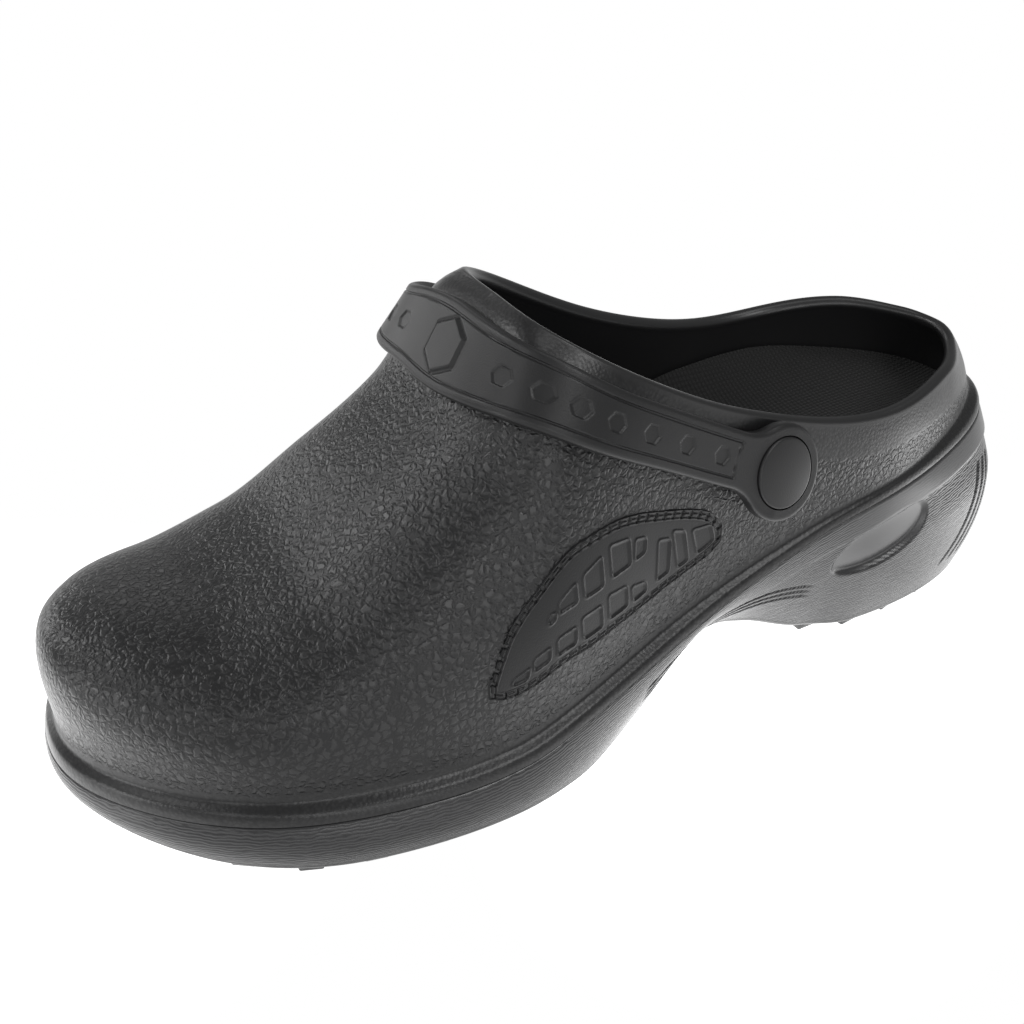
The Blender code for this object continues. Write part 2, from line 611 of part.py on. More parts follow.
def strap_half(s, ends):
    """Half the strap's width at a distance s from the ridge."""
    end = ends[1] if s > 0 else -ends[0]
    past = abs(s) - end
    share = np.clip(1 - abs(s) / (end - STRAP_TAPER_STOP), 0, 1)
    width = STRAP_HALF_END + (STRAP_HALF_TOP - STRAP_HALF_END) * share**STRAP_TAPER
    begin = -np.sqrt((LUG_R + LUG_FILLET) ** 2 - (STRAP_HALF_END + LUG_FILLET) ** 2)
    if past < begin:
        return width
    if past < begin * LUG_R / (LUG_R + LUG_FILLET):
        return STRAP_HALF_END + LUG_FILLET - np.sqrt(LUG_FILLET**2 - (past - begin) ** 2)
    return max(np.sqrt(max(LUG_R**2 - past**2, 0)), LUG_TIP)


def strap_stations(path):
    lug = LUG_R * (1 - np.cos(np.linspace(0, np.pi / 2, 7)))
    lateral = np.concatenate([path.ends[0] - LUG_R + lug, np.linspace(path.ends[0], 0, 19)[1:]])
    medial = np.concatenate([np.linspace(0, path.ends[1], 19)[1:], path.ends[1] + LUG_R - lug[::-1][1:]])
    return np.concatenate([lateral, medial])


def build_strap(path):
    e = STRAP_EDGE
    rings = []
    for s in strap_stations(path):
        origin, _, across, out = path.frame(s)
        b = strap_half(s, path.ends)
        k = min(e, 0.5 * b)
        section = [(-b, e), (k - b, 0), (b - k, 0), (b, e)]
        section += [(b, STRAP_THICK - e), (b - k, STRAP_THICK), (k - b, STRAP_THICK), (-b, STRAP_THICK - e)]
        rings.append([origin + across * a + out * (STRAP_GAP + h) for a, h in section])
    rings = np.array(rings)
    n, rows = rings.shape[:2]
    faces = [range(rows), range((n - 1) * rows, n * rows)]
    for i in range(n - 1):
        for j in range(rows):
            k = (j + 1) % rows
            faces.append((i * rows + j, i * rows + k, (i + 1) * rows + k, (i + 1) * rows + j))
    strap = solid("strap", rings.reshape(-1, 3), faces)

    face = STRAP_GAP + STRAP_THICK
    plate = prisms([path.frame(STRAP_MIDDLE)], PLATE_R, face - 1.6, face + PLATE_UP, turn=np.pi / 6)
    combine(strap, "UNION", solid("plate_joiner", *plate, helper=True))
    cells = [path.frame(STRAP_MIDDLE + side * s) for s in CELLS for side in (-1, 1)]
    pockets = prisms(cells, CELL_R, face - CELL_DEEP, face + 1.2)
    combine(strap, "DIFFERENCE", solid("cell_cutter", *pockets, helper=True))
    for name, s in zip(("lateral", "medial"), path.ends):
        frame = path.frame(s)
        seat = solid(f"seat_cutter_{name}", *prisms([frame], DISC_R + DISC_GAP, face - SEAT_DEEP, face + 6, 28), helper=True)
        combine(strap, "DIFFERENCE", seat)
    return strap


def build_rivet(name, frame, strap, upper):
    """The outer disc with its shank, the inner cap that takes it, and their holes."""
    face = STRAP_GAP + STRAP_THICK
    seat = face - SEAT_DEEP + DISC_GAP
    wall_in = -STRAP_LIFT - WALL - CAP_GAP
    end = wall_in - CAP_HOLE + DISC_GAP
    top = seat + DISC_THICK
    profile = [(0, top + DISC_CROWN), (5.0, top + 0.7 * DISC_CROWN), (DISC_R - 0.7, top), (DISC_R, top - 0.6), (DISC_R, seat)]
    profile += [(SHANK_R, seat), (SHANK_R, end), (0, end)]
    solid(f"button_{name}", *turned(frame, profile), colour="button")
    profile = [(0, wall_in - CAP_THICK), (CAP_R - 2, wall_in - CAP_THICK + 0.2), (CAP_R, wall_in - 1.2)]
    profile += [(CAP_R, wall_in), (HOLE_R, wall_in), (HOLE_R, wall_in - CAP_HOLE), (0, wall_in - CAP_HOLE)]
    solid(f"cap_{name}", *turned(frame, profile), colour="cap")
    hole = solid(f"hole_cutter_{name}", *prisms([frame], HOLE_R, -HOLE_DEEP, face + 4, 16), helper=True)
    combine(strap, "DIFFERENCE", hole)
    combine(upper, "DIFFERENCE", hole)


def main():
    for obj in list(bpy.data.objects):
        bpy.data.objects.remove(obj)
    build_sole(ribs(8, 6, 3, 5, 9))
    upper = build_upper(ribs(9, 7, 5, 6, 9))
    build_insole(ribs(7, 4, 2, 5, 8))
    path = StrapPath()
    strap = build_strap(path)
    for name, s in zip(("lateral", "medial"), path.ends):
        build_rivet(name, path.frame(s), strap, upper)


main()
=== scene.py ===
import math

import bpy
import numpy as np
from mathutils import Matrix, Vector


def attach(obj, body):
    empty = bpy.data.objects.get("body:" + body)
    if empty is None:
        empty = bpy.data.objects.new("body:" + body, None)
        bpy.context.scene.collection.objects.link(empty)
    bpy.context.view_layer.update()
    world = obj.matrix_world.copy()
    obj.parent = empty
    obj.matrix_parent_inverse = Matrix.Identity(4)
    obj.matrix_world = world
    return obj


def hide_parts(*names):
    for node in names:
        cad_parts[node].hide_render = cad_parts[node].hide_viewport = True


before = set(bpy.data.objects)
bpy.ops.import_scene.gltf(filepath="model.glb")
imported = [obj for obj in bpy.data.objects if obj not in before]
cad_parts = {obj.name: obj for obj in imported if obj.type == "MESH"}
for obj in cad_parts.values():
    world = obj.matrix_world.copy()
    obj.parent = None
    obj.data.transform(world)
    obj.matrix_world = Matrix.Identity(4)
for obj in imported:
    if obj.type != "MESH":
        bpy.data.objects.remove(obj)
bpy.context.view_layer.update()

bpy.ops.object.select_all(action="DESELECT")
print("frame loaded:", ", ".join(sorted(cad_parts)))

# The last, in mm. t runs from the heel (0) to the toe (1); u runs round the shoe,
# from -pi at the toe along the lateral side to 0 at the heel and back by the medial side.
last = {
    "length": 285.0, "shift": (-3.5, 2.14, 0.0), "heelFan": 0.13, "toeFan": 0.80,
    "collarFront": 0.585, "wall": 4.2, "lip": 2.0, "seamGap": 0.35,
    "sectionNames": "t half mid rim bottom tuck baseIn baseUp roof collar skew lean flat steep belly",
    "sections": (
        (0.000, 0.0, 0.3, 59.0, 5.6, -3.0, 4.6, 4.8, 99.2, 79.4, 0.0, 5.6, 0.60, 0.79, 0.3),
        (0.030, 19.1, 0.4, 58.0, 4.2, -1.0, 4.4, 4.6, 99.4, 79.1, 1.2, 4.8, 0.59, 0.78, 0.3),
        (0.100, 30.5, 0.6, 55.1, 2.7, 3.0, 2.8, 4.0, 100.4, 79.7, 1.9, 1.6, 0.56, 0.76, 0.5),
        (0.200, 38.5, 1.2, 51.0, 2.5, 8.0, 1.4, 3.4, 103.5, 77.0, 1.0, 0.2, 0.54, 0.76, 0.8),
        (0.270, 39.0, 0.2, 47.3, 6.4, 10.5, 1.6, 3.5, 106.3, 78.4, 0.7, 0.0, 0.53, 0.76, 0.9),
        (0.350, 39.0, -1.4, 41.1, 17.2, 10.0, 2.1, 3.8, 111.3, 84.8, 0.6, 0.0, 0.53, 0.76, 0.9),
        (0.420, 41.2, -1.8, 35.4, 24.2, 7.2, 2.7, 4.1, 119.0, 92.8, 0.4, 0.0, 0.53, 0.80, 0.9),
        (0.500, 45.6, -2.4, 28.9, 10.6, 4.8, 3.4, 4.4, 124.0, 105.2, 0.2, 0.0, 0.54, 0.85, 0.9),
        (0.585, 50.0, -4.2, 23.0, 3.2, 2.2, 3.5, 4.5, 119.6, 119.6, 0.0, 0.0, 0.55, 0.89, 0.9),
        (0.650, 52.4, -4.6, 19.0, 2.5, 1.6, 3.5, 4.5, 96.6, 96.6, 0.0, 0.0, 0.57, 0.88, 1.1),
        (0.720, 53.8, -3.0, 17.8, 2.5, 1.4, 3.6, 4.5, 80.1, 80.1, 0.0, 0.0, 0.61, 0.84, 1.6),
        (0.800, 52.9, -0.4, 17.8, 2.6, 1.4, 3.6, 4.5, 63.0, 63.0, 0.0, 0.0, 0.64, 0.80, 2.4),
        (0.880, 47.2, 2.8, 17.8, 4.2, 1.2, 3.4, 4.8, 56.0, 56.0, 0.0, 0.0, 0.60, 0.76, 3.3),
        (0.950, 33.7, 7.0, 16.8, 6.8, 0.8, 3.1, 5.1, 57.7, 57.7, 0.0, 0.0, 0.51, 0.73, 4.2),
        (1.000, 0.0, 7.1, 15.7, 9.5, 0.6, 3.0, 5.3, 63.9, 63.9, 0.0, 0.0, 0.42, 0.71, 4.9),
    ),
    "bedNames": "t middle lateral medial swell step",
    "bed": (
        (0.00, 61.5, 63.5, 63.5, 6.8, 0.9), (0.10, 60.5, 64.0, 66.0, 5.2, 0.9),
        (0.20, 58.5, 63.0, 67.5, 2.8, 0.7), (0.30, 53.5, 59.5, 67.0, 1.0, 0.2),
        (0.40, 46.0, 51.5, 60.5, 0.6, 0.0), (0.50, 37.0, 41.5, 49.5, 0.8, 0.0),
        (0.60, 29.0, 32.5, 37.0, 1.4, 0.0), (0.70, 24.5, 27.0, 29.0, 1.8, 0.0),
        (0.80, 23.0, 25.0, 25.5, 2.2, 0.0), (0.90, 22.7, 24.7, 24.8, 1.8, 0.0),
        (1.00, 22.5, 24.5, 24.5, 0.8, 0.0),
    ),
    "leanCurve": 1.5, "bedCup": 2.2, "bedBlend": 0.35, "tuckCurve": 1.4, "swellCurve": 0.9,
}


def columnsOf(names, rows):
    return dict(zip(names.split(), np.array(rows, float).T))


def naturalCurve(xs, ys):          # natural cubic spline
    n, h = len(xs), np.diff(xs)
    a, b = np.eye(n), np.zeros(n)
    for i in range(1, n - 1):
        a[i, i - 1:i + 2] = h[i - 1], 2 * (h[i - 1] + h[i]), h[i]
        b[i] = 6 * ((ys[i + 1] - ys[i]) / h[i] - (ys[i] - ys[i - 1]) / h[i - 1])
    m = np.linalg.solve(a, b)

    def at(x):
        x = np.asarray(x, float)
        i = np.clip(np.searchsorted(xs, x) - 1, 0, n - 2)
        lo, hi = x - xs[i], xs[i + 1] - x
        cubic = (m[i] * hi**3 + m[i + 1] * lo**3) / (6 * h[i])
        return cubic + (ys[i] / h[i] - m[i] * h[i] / 6) * hi + (ys[i + 1] / h[i] - m[i + 1] * h[i] / 6) * lo

    return at


def steadyCurve(xs, ys):           # smooth, never past its points
    h, d = np.diff(xs), np.diff(ys) / np.diff(xs)
    m = np.zeros(len(xs))
    same = d[:-1] * d[1:] > 0
    w1, w2 = (2 * h[1:] + h[:-1])[same], (h[1:] + 2 * h[:-1])[same]
    m[1:-1][same] = (w1 + w2) / (w1 / d[:-1][same] + w2 / d[1:][same])
    m[0], m[-1] = d[0], d[-1]

    def at(x):
        x = np.clip(np.asarray(x, float), xs[0], xs[-1])
        i = np.clip(np.searchsorted(xs, x) - 1, 0, len(xs) - 2)
        s = (x - xs[i]) / h[i]
        ends = ys[i] * (1 + 2 * s) * (1 - s) ** 2 + ys[i + 1] * s * s * (3 - 2 * s)
        return ends + h[i] * (m[i] * s * (1 - s) ** 2 + m[i + 1] * s * s * (s - 1))

    return at


section = columnsOf(last["sectionNames"], last["sections"])
bedTable = columnsOf(last["bedNames"], last["bed"])
curves = {name: steadyCurve(section["t"], section[name]) for name in section if name != "t"}
curves.update({name: steadyCurve(bedTable["t"], bedTable[name]) for name in bedTable if name != "t"})
sectionAngles = np.arccos(1 - 2 * section["t"])
halfWidth = naturalCurve(sectionAngles, section["half"])
middleLine = naturalCurve(sectionAngles, section["mid"])
behindFront = section["t"] <= last["collarFront"]
collarLine = naturalCurve(section["t"][behindFront], section["collar"][behindFront])


def along(u):
    return (1 - np.cos(np.abs(u))) / 2


def angleAt(t):
    return np.arccos(1 - 2 * np.asarray(t, float))


def tAt(x):
    return np.clip((last["length"] / 2 - x) / last["length"], 0, 1)


def curveAt(name, u):
    return curves[name](along(u))


def rimLine(u):
    u = (np.asarray(u, float) + np.pi) % (2 * np.pi) - np.pi
    y = middleLine(np.abs(u)) + np.sign(u) * halfWidth(np.abs(u))
    return np.stack([last["length"] / 2 - along(u) * last["length"], y], -1)


def spineLine(u):
    t = np.clip(along(u), last["heelFan"], last["toeFan"])
    return np.stack([last["length"] / 2 - t * last["length"], middleLine(angleAt(t))], -1)


def inwardAt(u):
    d = rimLine(np.asarray(u) + 1e-3) - rimLine(np.asarray(u) - 1e-3)
    n = np.stack([-d[..., 1], d[..., 0]], -1)
    return n / np.linalg.norm(n, axis=-1, keepdims=True)


def insetLine(u, by):
    return rimLine(u) + inwardAt(u) * np.asarray(by, float)[..., None]


def atHeight(plan, z):
    return np.concatenate([plan, np.broadcast_to(z, plan.shape[:-1])[..., None]], -1)


def collarHeight(u):
    return collarLine(along(u)) + np.sign(u) * curveAt("skew", u)


def wallSkin(u, phi, depth=0.0):   # phi climbs from the crease to the ridge, depth goes into the wall
    u, phi, depth = np.broadcast_arrays(*(np.asarray(a, float) for a in (u, phi, depth)))
    base, foot = insetLine(u, curveAt("baseIn", u) + depth), spineLine(u)
    low = curveAt("rim", u) + curveAt("baseUp", u)
    c, s = np.clip(np.cos(phi), 0, 1), np.sin(phi)
    span = np.linalg.norm(base - foot, axis=-1)
    reach = c ** curveAt("flat", u) + curveAt("belly", u) / span * np.sin(2 * phi) * c
    plan = foot + (base - foot) * reach[..., None]
    z = low + (curves["roof"](tAt(plan[..., 0])) - depth - low) * s ** curveAt("steep", u)
    up = np.clip((z - low) / np.maximum(collarHeight(u) - low, 1), 0, 1)
    return atHeight(plan + inwardAt(u) * (curveAt("lean", u) * up ** last["leanCurve"])[..., None], z)


def topPhi(u):                     # a rib ends at the collar, or on the ridge in front of it
    fine = np.linspace(0, np.pi / 2, 241)
    ends = np.full(len(u), np.pi / 2)
    for i in np.flatnonzero(along(u) < last["collarFront"] - 1e-6):
        ends[i] = np.interp(collarHeight(u[i]), wallSkin(u[i], fine)[:, 2], fine)
    return ends


def smoothStep(x, low, high):
    s = np.clip((x - low) / (high - low), 0, 1)
    return s * s * (3 - 2 * s)


def runLength(points):             # distance along a line of points
    return np.concatenate([[0], np.cumsum(np.linalg.norm(np.diff(points, axis=0), axis=1))])


def ringBySpacing(spacing):        # angles round the shoe with a wanted spacing in mm at each angle
    fine = np.linspace(0, np.pi, 4001)
    step = np.linalg.norm(np.diff(rimLine(fine), axis=0), axis=1)
    count = np.concatenate([[0], np.cumsum(step / spacing(0.5 * (fine[1:] + fine[:-1])))])
    side = np.interp(np.linspace(0, count[-1], int(count[-1]) + 1), count, fine)
    return np.concatenate([-side[:0:-1], side])


def deselectAll():
    if bpy.context.object and bpy.context.object.mode != "OBJECT":
        bpy.ops.object.mode_set(mode="OBJECT")
    bpy.ops.object.select_all(action="DESELECT")


meshSet = {"weld": 2e-6, "sliver": 1e-7}           # in metres


def closeMesh(piece, angle=40):    # weld the seams, turn the faces out, shade
    deselectAll()
    bpy.context.view_layer.objects.active = piece
    piece.select_set(True)
    bpy.ops.object.mode_set(mode="EDIT")
    bpy.ops.mesh.select_all(action="SELECT")
    bpy.ops.mesh.remove_doubles(threshold=meshSet["weld"])
    bpy.ops.mesh.dissolve_degenerate(threshold=meshSet["sliver"])
    bpy.ops.mesh.normals_make_consistent(inside=False)
    bpy.ops.object.mode_set(mode="OBJECT")
    bpy.ops.object.shade_smooth_by_angle(angle=math.radians(angle))
    piece.select_set(False)


def gridPiece(name, points, uv=None, marks=None, drop=None, angle=40):
    points = np.asarray(points, float)                    # rows x columns x 3, in mm
    rows, cols = points.shape[:2]
    deselectAll()
    bpy.ops.mesh.primitive_grid_add(x_subdivisions=cols - 1, y_subdivisions=rows - 1, size=1)
    piece = bpy.context.object
    piece.name = piece.data.name = name
    mesh = piece.data
    metres = (points.reshape(-1, 3) + last["shift"]) / 1000
    mesh.vertices.foreach_set("co", metres.astype(np.float32).ravel())
    if uv is not None:
        corner = np.zeros(len(mesh.loops), np.int32)
        mesh.loops.foreach_get("vertex_index", corner)
        flat = np.asarray(uv, np.float32).reshape(-1, 2) / 1000
        mesh.uv_layers.active.data.foreach_set("uv", flat[corner].ravel())
    for mark, values in (marks or {}).items():
        layer = mesh.attributes.new(mark, "FLOAT", "POINT")
        layer.data.foreach_set("value", np.asarray(values, np.float32).ravel())
    if drop is not None:                                  # faces that would lie inside the shoe
        bpy.ops.object.mode_set(mode="EDIT")
        bpy.ops.mesh.select_mode(type="FACE")
        bpy.ops.object.mode_set(mode="OBJECT")
        mesh.polygons.foreach_set("select", np.asarray(drop, bool).ravel())
        bpy.ops.object.mode_set(mode="EDIT")
        bpy.ops.mesh.delete(type="FACE")
        bpy.ops.mesh.select_mode(type="VERT")
        bpy.ops.object.mode_set(mode="OBJECT")
    closeMesh(piece, angle)
    return piece


def dress(piece, node, material):
    piece.data.materials.clear()
    piece.data.materials.append(material)
    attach(piece, "root")
    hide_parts(node)
    print("  ", piece.name, len(piece.data.polygons), "faces")


# The camera, at the photograph's angle.
cameraSet = {
    "target": (0.00547, 0.04711, 0.0223), "azimuth": -28.9, "elevation": 31.32, "roll": 0.66,
    "distance": 0.4373, "focalPixels": 1403.7, "imagePixels": 1024, "sensor": 36.0,
}


def makeCamera():
    s = cameraSet
    a, e, r = (math.radians(s[key]) for key in ("azimuth", "elevation", "roll"))
    back = np.array([math.sin(a) * math.cos(e), -math.cos(a) * math.cos(e), math.sin(e)])
    right = np.cross(-back, (0, 0, 1.0))
    right /= np.linalg.norm(right)
    up = np.cross(right, -back)
    right, up = right * math.cos(r) + up * math.sin(r), up * math.cos(r) - right * math.sin(r)
    spot = np.array(s["target"]) + back * s["distance"]
    data = bpy.data.cameras.new("photoCamera")
    data.sensor_fit, data.sensor_width = "HORIZONTAL", s["sensor"]
    data.lens = s["focalPixels"] * s["sensor"] / s["imagePixels"]
    data.clip_start, data.clip_end = 0.01, 50
    camera = bpy.data.objects.new("photoCamera", data)
    bpy.context.scene.collection.objects.link(camera)
    camera.matrix_world = Matrix([[right[i], up[i], back[i], spot[i]] for i in range(3)] + [[0, 0, 0, 1]])
    bpy.context.scene.camera = camera


makeCamera()
print("camera set")


# Shared finishes.
def newGroup(name, inputs, outputs):
    group = bpy.data.node_groups.new(name, "ShaderNodeTree")
    for label, value in inputs.items():
        socket = group.interface.new_socket(label, in_out="INPUT", socket_type="NodeSocketFloat")
        socket.default_value = value
    for label in outputs:
        group.interface.new_socket(label, in_out="OUTPUT", socket_type="NodeSocketFloat")
    return group, group.nodes.new("NodeGroupInput"), group.nodes.new("NodeGroupOutput")


def setInput(tree, socket, value):     # a value, or a link from another node
    if isinstance(value, bpy.types.NodeSocket):
        tree.links.new(value, socket)
    else:
        socket.default_value = value


def addNode(tree, kind, **values):     # in_Name goes to an input, any other name to the node
    node = tree.nodes.new(kind)
    for key, value in values.items():
        if not key.startswith("in_"):
            setattr(node, key, value)
            continue
        name = key[3:].replace("_", " ")
        setInput(tree, node.inputs[int(name) if name.isdigit() else name], value)
    return node


def mathNode(tree, operation, *values):
    node = addNode(tree, "ShaderNodeMath", operation=operation)
    for socket, value in zip(node.inputs, values):
        setInput(tree, socket, value)
    return node.outputs[0]


def objectPlace(tree):
    return addNode(tree, "ShaderNodeTexCoord").outputs["Object"]


def makeCellGrain():               # moulded leather grain: uneven cells between narrow creases
    inputs = {"Scale": 470.0, "Warp": 0.0021, "Bend": 640.0, "Crease": 0.32}
    group, source, sink = newGroup("cellGrain", inputs, ["Height"])
    place = objectPlace(group)
    bend = addNode(group, "ShaderNodeTexNoise", in_Vector=place,
                   in_Scale=source.outputs["Bend"], in_Detail=1.5)
    push = addNode(group, "ShaderNodeVectorMath", operation="MULTIPLY_ADD",
                   in_0=bend.outputs["Color"], in_1=source.outputs["Warp"], in_2=place)
    cells = addNode(group, "ShaderNodeTexVoronoi", feature="DISTANCE_TO_EDGE",
                    in_Vector=push.outputs[0], in_Scale=source.outputs["Scale"])
    rise = addNode(group, "ShaderNodeMapRange", interpolation_type="SMOOTHSTEP",
                   in_Value=cells.outputs["Distance"], in_From_Max=source.outputs["Crease"])
    group.links.new(rise.outputs["Result"], sink.inputs["Height"])
    return group


def makePebble():                  # fine round pebbles
    group, source, sink = newGroup("finePebble", {"Scale": 900.0}, ["Height"])
    cells = addNode(group, "ShaderNodeTexVoronoi", feature="SMOOTH_F1", in_Smoothness=0.4,
                    in_Vector=objectPlace(group), in_Scale=source.outputs["Scale"])
    group.links.new(mathNode(group, "SUBTRACT", 1.0, cells.outputs["Distance"]), sink.inputs["Height"])
    return group


def makeMottle():                  # faint unevenness of the foam's skin
    group, source, sink = newGroup("foamMottle", {"Scale": 60.0, "Low": 0.4, "High": 0.6}, ["Value"])
    noise = addNode(group, "ShaderNodeTexNoise", in_Vector=objectPlace(group),
                    in_Scale=source.outputs["Scale"], in_Detail=4.0, in_Roughness=0.6)
    span = mathNode(group, "SUBTRACT", source.outputs["High"], source.outputs["Low"])
    part = mathNode(group, "MULTIPLY", span, noise.outputs["Fac"])
    group.links.new(mathNode(group, "ADD", part, source.outputs["Low"]), sink.inputs["Value"])
    return group


cellGrain, finePebble, foamMottle = makeCellGrain(), makePebble(), makeMottle()


def useGroup(tree, group, **values):
    node = tree.nodes.new("ShaderNodeGroup")
    node.node_tree = group
    for key, value in values.items():
        node.inputs[key].default_value = value
    return node


def markNode(tree, name):
    return addNode(tree, "ShaderNodeAttribute", attribute_name=name).outputs["Fac"]


foamSet = {"ior": 1.48, "mottle": 60.0, "toneScale": 0.6, "toneLow": 0.86, "toneHigh": 1.14}


def foamMaterial(name, s):         # a piece's own settings give colour, roughness and gloss
    material = bpy.data.materials.new(name)
    material.use_nodes = True
    tree = material.node_tree
    shader = tree.nodes["Principled BSDF"]
    shader.inputs["Specular IOR Level"].default_value = s["specular"]
    shader.inputs["IOR"].default_value = foamSet["ior"]
    mottle = s.get("mottle", foamSet["mottle"])
    rough = useGroup(tree, foamMottle, Scale=mottle, Low=s["roughLow"], High=s["roughHigh"])
    tree.links.new(rough.outputs["Value"], shader.inputs["Roughness"])
    tone = useGroup(tree, foamMottle, Scale=mottle * foamSet["toneScale"], Low=0.0, High=1.0)
    ramp = addNode(tree, "ShaderNodeMix", data_type="RGBA")
    for end, part in (("A", "toneLow"), ("B", "toneHigh")):
        ramp.inputs[end].default_value = (*[foamSet[part] * c for c in s["colour"]], 1)
    tree.links.new(tone.outputs["Value"], ramp.inputs["Factor"])
    tree.links.new(ramp.outputs["Result"], shader.inputs["Base Color"])
    return material, tree, shader


def addBump(tree, shader, height, mm):
    bump = addNode(tree, "ShaderNodeBump", in_Strength=1.0, in_Distance=mm / 1000, in_Height=height)
    tree.links.new(bump.outputs["Normal"], shader.inputs["Normal"])


def paintCreaseShade(tree, shader, low, share):    # painted shade: the creases get less gloss than the ridges between them, so they look shaded
    level = shader.inputs["Specular IOR Level"]
    part = mathNode(tree, "MULTIPLY", low, share * level.default_value)
    tree.links.new(mathNode(tree, "SUBTRACT", level.default_value, part), level)


def dottedMaterial(name, s, dots):         # foam with fine pebbles of a given scale and height in mm
    material, tree, shader = foamMaterial(name, s)
    pebble = useGroup(tree, finePebble, Scale=dots[0])
    addBump(tree, shader, pebble.outputs["Height"], dots[1])
    return material


# The upper: flange, grained wall, rolled collar and the smooth inside.
upperSet = {
    "ribs": (72, 38, 26, 38, 66), "ribEnds": (0.3, 0.5), "ribFine": 360, "ribCurve": (1.8, 2.2),
    "wallRows": 62, "flangeRows": 10, "lipRows": 12, "innerRows": 26,
    "firstRows": (0, 0.3, 0.6, 1.0, 1.5, 2.2, 3.1), "evenFrom": 4.2, "evenTo": 3.6,
    "finalRows": (2.6, 1.8, 1.1, 0.5, 0),
    "creaseRounds": 14, "creaseBelow": 5, "creaseAbove": 9,
    "smoothLip": 1.2, "pebbleBand": 9.3, "bandFrom": 20.0, "bandFade": 1.0, "footFade": (0.8, 2.5),
    "colour": (0.010, 0.010, 0.0105), "roughLow": 0.30, "roughHigh": 0.38, "specular": 0.6,
    "grainScale": 470.0, "grainMm": 0.14, "pebbleScale": 1100.0, "pebbleMm": 0.05, "paintedCreaseShade": 0.34,
}


def ribAngles(heel, arch, front, vamp, toe):
    cut, (a, b) = last["collarFront"], upperSet["ribEnds"]
    parts = [
        np.linspace(0, angleAt(a), heel + 1), np.linspace(angleAt(a), angleAt(b), arch + 1),
        angleAt(cut - (cut - b) * np.linspace(1, 0, front + 1) ** 2),
        np.linspace(angleAt(cut), angleAt(last["toeFan"]), vamp + 1),
    ]
    side = [part[:-1] for part in parts] + [np.linspace(angleAt(last["toeFan"]), np.pi, toe + 1)]
    side = np.concatenate(side)
    return np.concatenate([-side[:0:-1], side])


def spreadPhi(u, endPhi, depth, rows):     # phi of rows at even distances, closer at both edges
    s = upperSet
    x, (start, finish) = np.linspace(0, 1, s["ribFine"]), s["ribCurve"]
    fine = endPhi[:, None] * (1 - (1 - x**start) ** finish)
    points = wallSkin(u[:, None], fine, depth)
    length = np.linalg.norm(np.diff(points, axis=1), axis=2)
    length = np.concatenate([np.zeros((len(u), 1)), np.cumsum(length, axis=1)], 1)
    phi, toTop = [], []
    for i in range(len(u)):
        total = length[i, -1]
        even = np.linspace(s["evenFrom"], total - s["evenTo"], rows)
        far = np.concatenate([s["firstRows"], even, total - np.array(s["finalRows"])])
        phi.append(np.interp(far, length[i], fine[i]))
        toTop.append(total - far)
    return np.array(phi), np.array(toTop)


def lipLines(openRib, outer, inner, count):
    ends = np.flatnonzero(openRib)
    edgeOut, edgeIn = outer[ends], inner[ends]
    run = np.gradient(edgeOut, axis=0)
    run[0] = run[-1] = (0, -1.0, 0)
    out = np.cross(run, edgeIn - edgeOut)
    out /= np.linalg.norm(out, axis=1, keepdims=True)
    out *= np.sign(out[len(out) // 2, 2])
    lines = []
    for a in np.linspace(0, np.pi, count + 2)[1:-1]:
        line = outer.copy()
        line[ends] = edgeIn + (edgeOut - edgeIn) / 2 * (1 + np.cos(a)) + out * last["lip"] * np.sin(a)
        lines.append(line)
    return lines


# Where the strap lies. The upper needs it too, because its grain ends at the strap.
strapSet = {
    "rows": ((18.5, 0.367), (28.4, 0.440), (33.2, 0.474), (39.5, 0.513), (46.4, 0.548),
             (53.5, 0.576), (61.9, 0.597), (73.4, 0.612), (90.0, 0.622)),
    "medialAhead": 0.04, "gap": 1.0, "thick": 4.0, "edgeRound": 1.3, "pathPoints": 90, "calm": 8.0,
    "halfTop": 10.9, "halfEnd": 7.3, "taper": 3.4, "taperStop": 14.0, "ridgeRound": 10.0,
    "lugRadius": 12.8, "lugFillet": 14.0, "middle": -3.0, "tilt": 10.0, "lift": 1.7, "tiltFrom": 50.0,
    "plateRadius": 7.2, "plateUp": 0.6, "plateSlope": 0.45,
    "plateLine": 0.3, "plateLineOut": 0.4, "plateLineHalf": (0.1, 0.45),
    "cells": (21.0, 30.0, 38.0, 47.0, 57.6, 69.5, 82.0),
    "cellRadius": 2.7, "cellDeep": 0.4, "cellSlope": (-0.35, 0.05),
    "frameIn": 2.7, "frameWide": 0.42, "frameFlat": 0.15, "frameDeep": 0.38, "frameEnd": 17.9,
    "spacing": 0.32, "lugStations": 34, "acrossRows": 64, "underStep": 9, "underRound": 0.5,
    "rimRows": (0, 0.07, 0.2, 0.4, 0.65, 0.95, 1.35), "rimFull": 3.0, "reliefIn": (0.2, 0.9),
    "colour": (0.011, 0.011, 0.0115), "roughLow": 0.36, "roughHigh": 0.44, "specular": 0.4,
    "dots": (2600.0, 0.02),
}
strapTable = columnsOf("phi t", strapSet["rows"])
strapT = naturalCurve(strapTable["phi"], strapTable["t"])


def strapAhead(phi):               # how much further forward the medial half lies
    low = math.radians(strapTable["phi"][0])
    return strapSet["medialAhead"] * (np.pi / 2 - phi) / (np.pi / 2 - low)


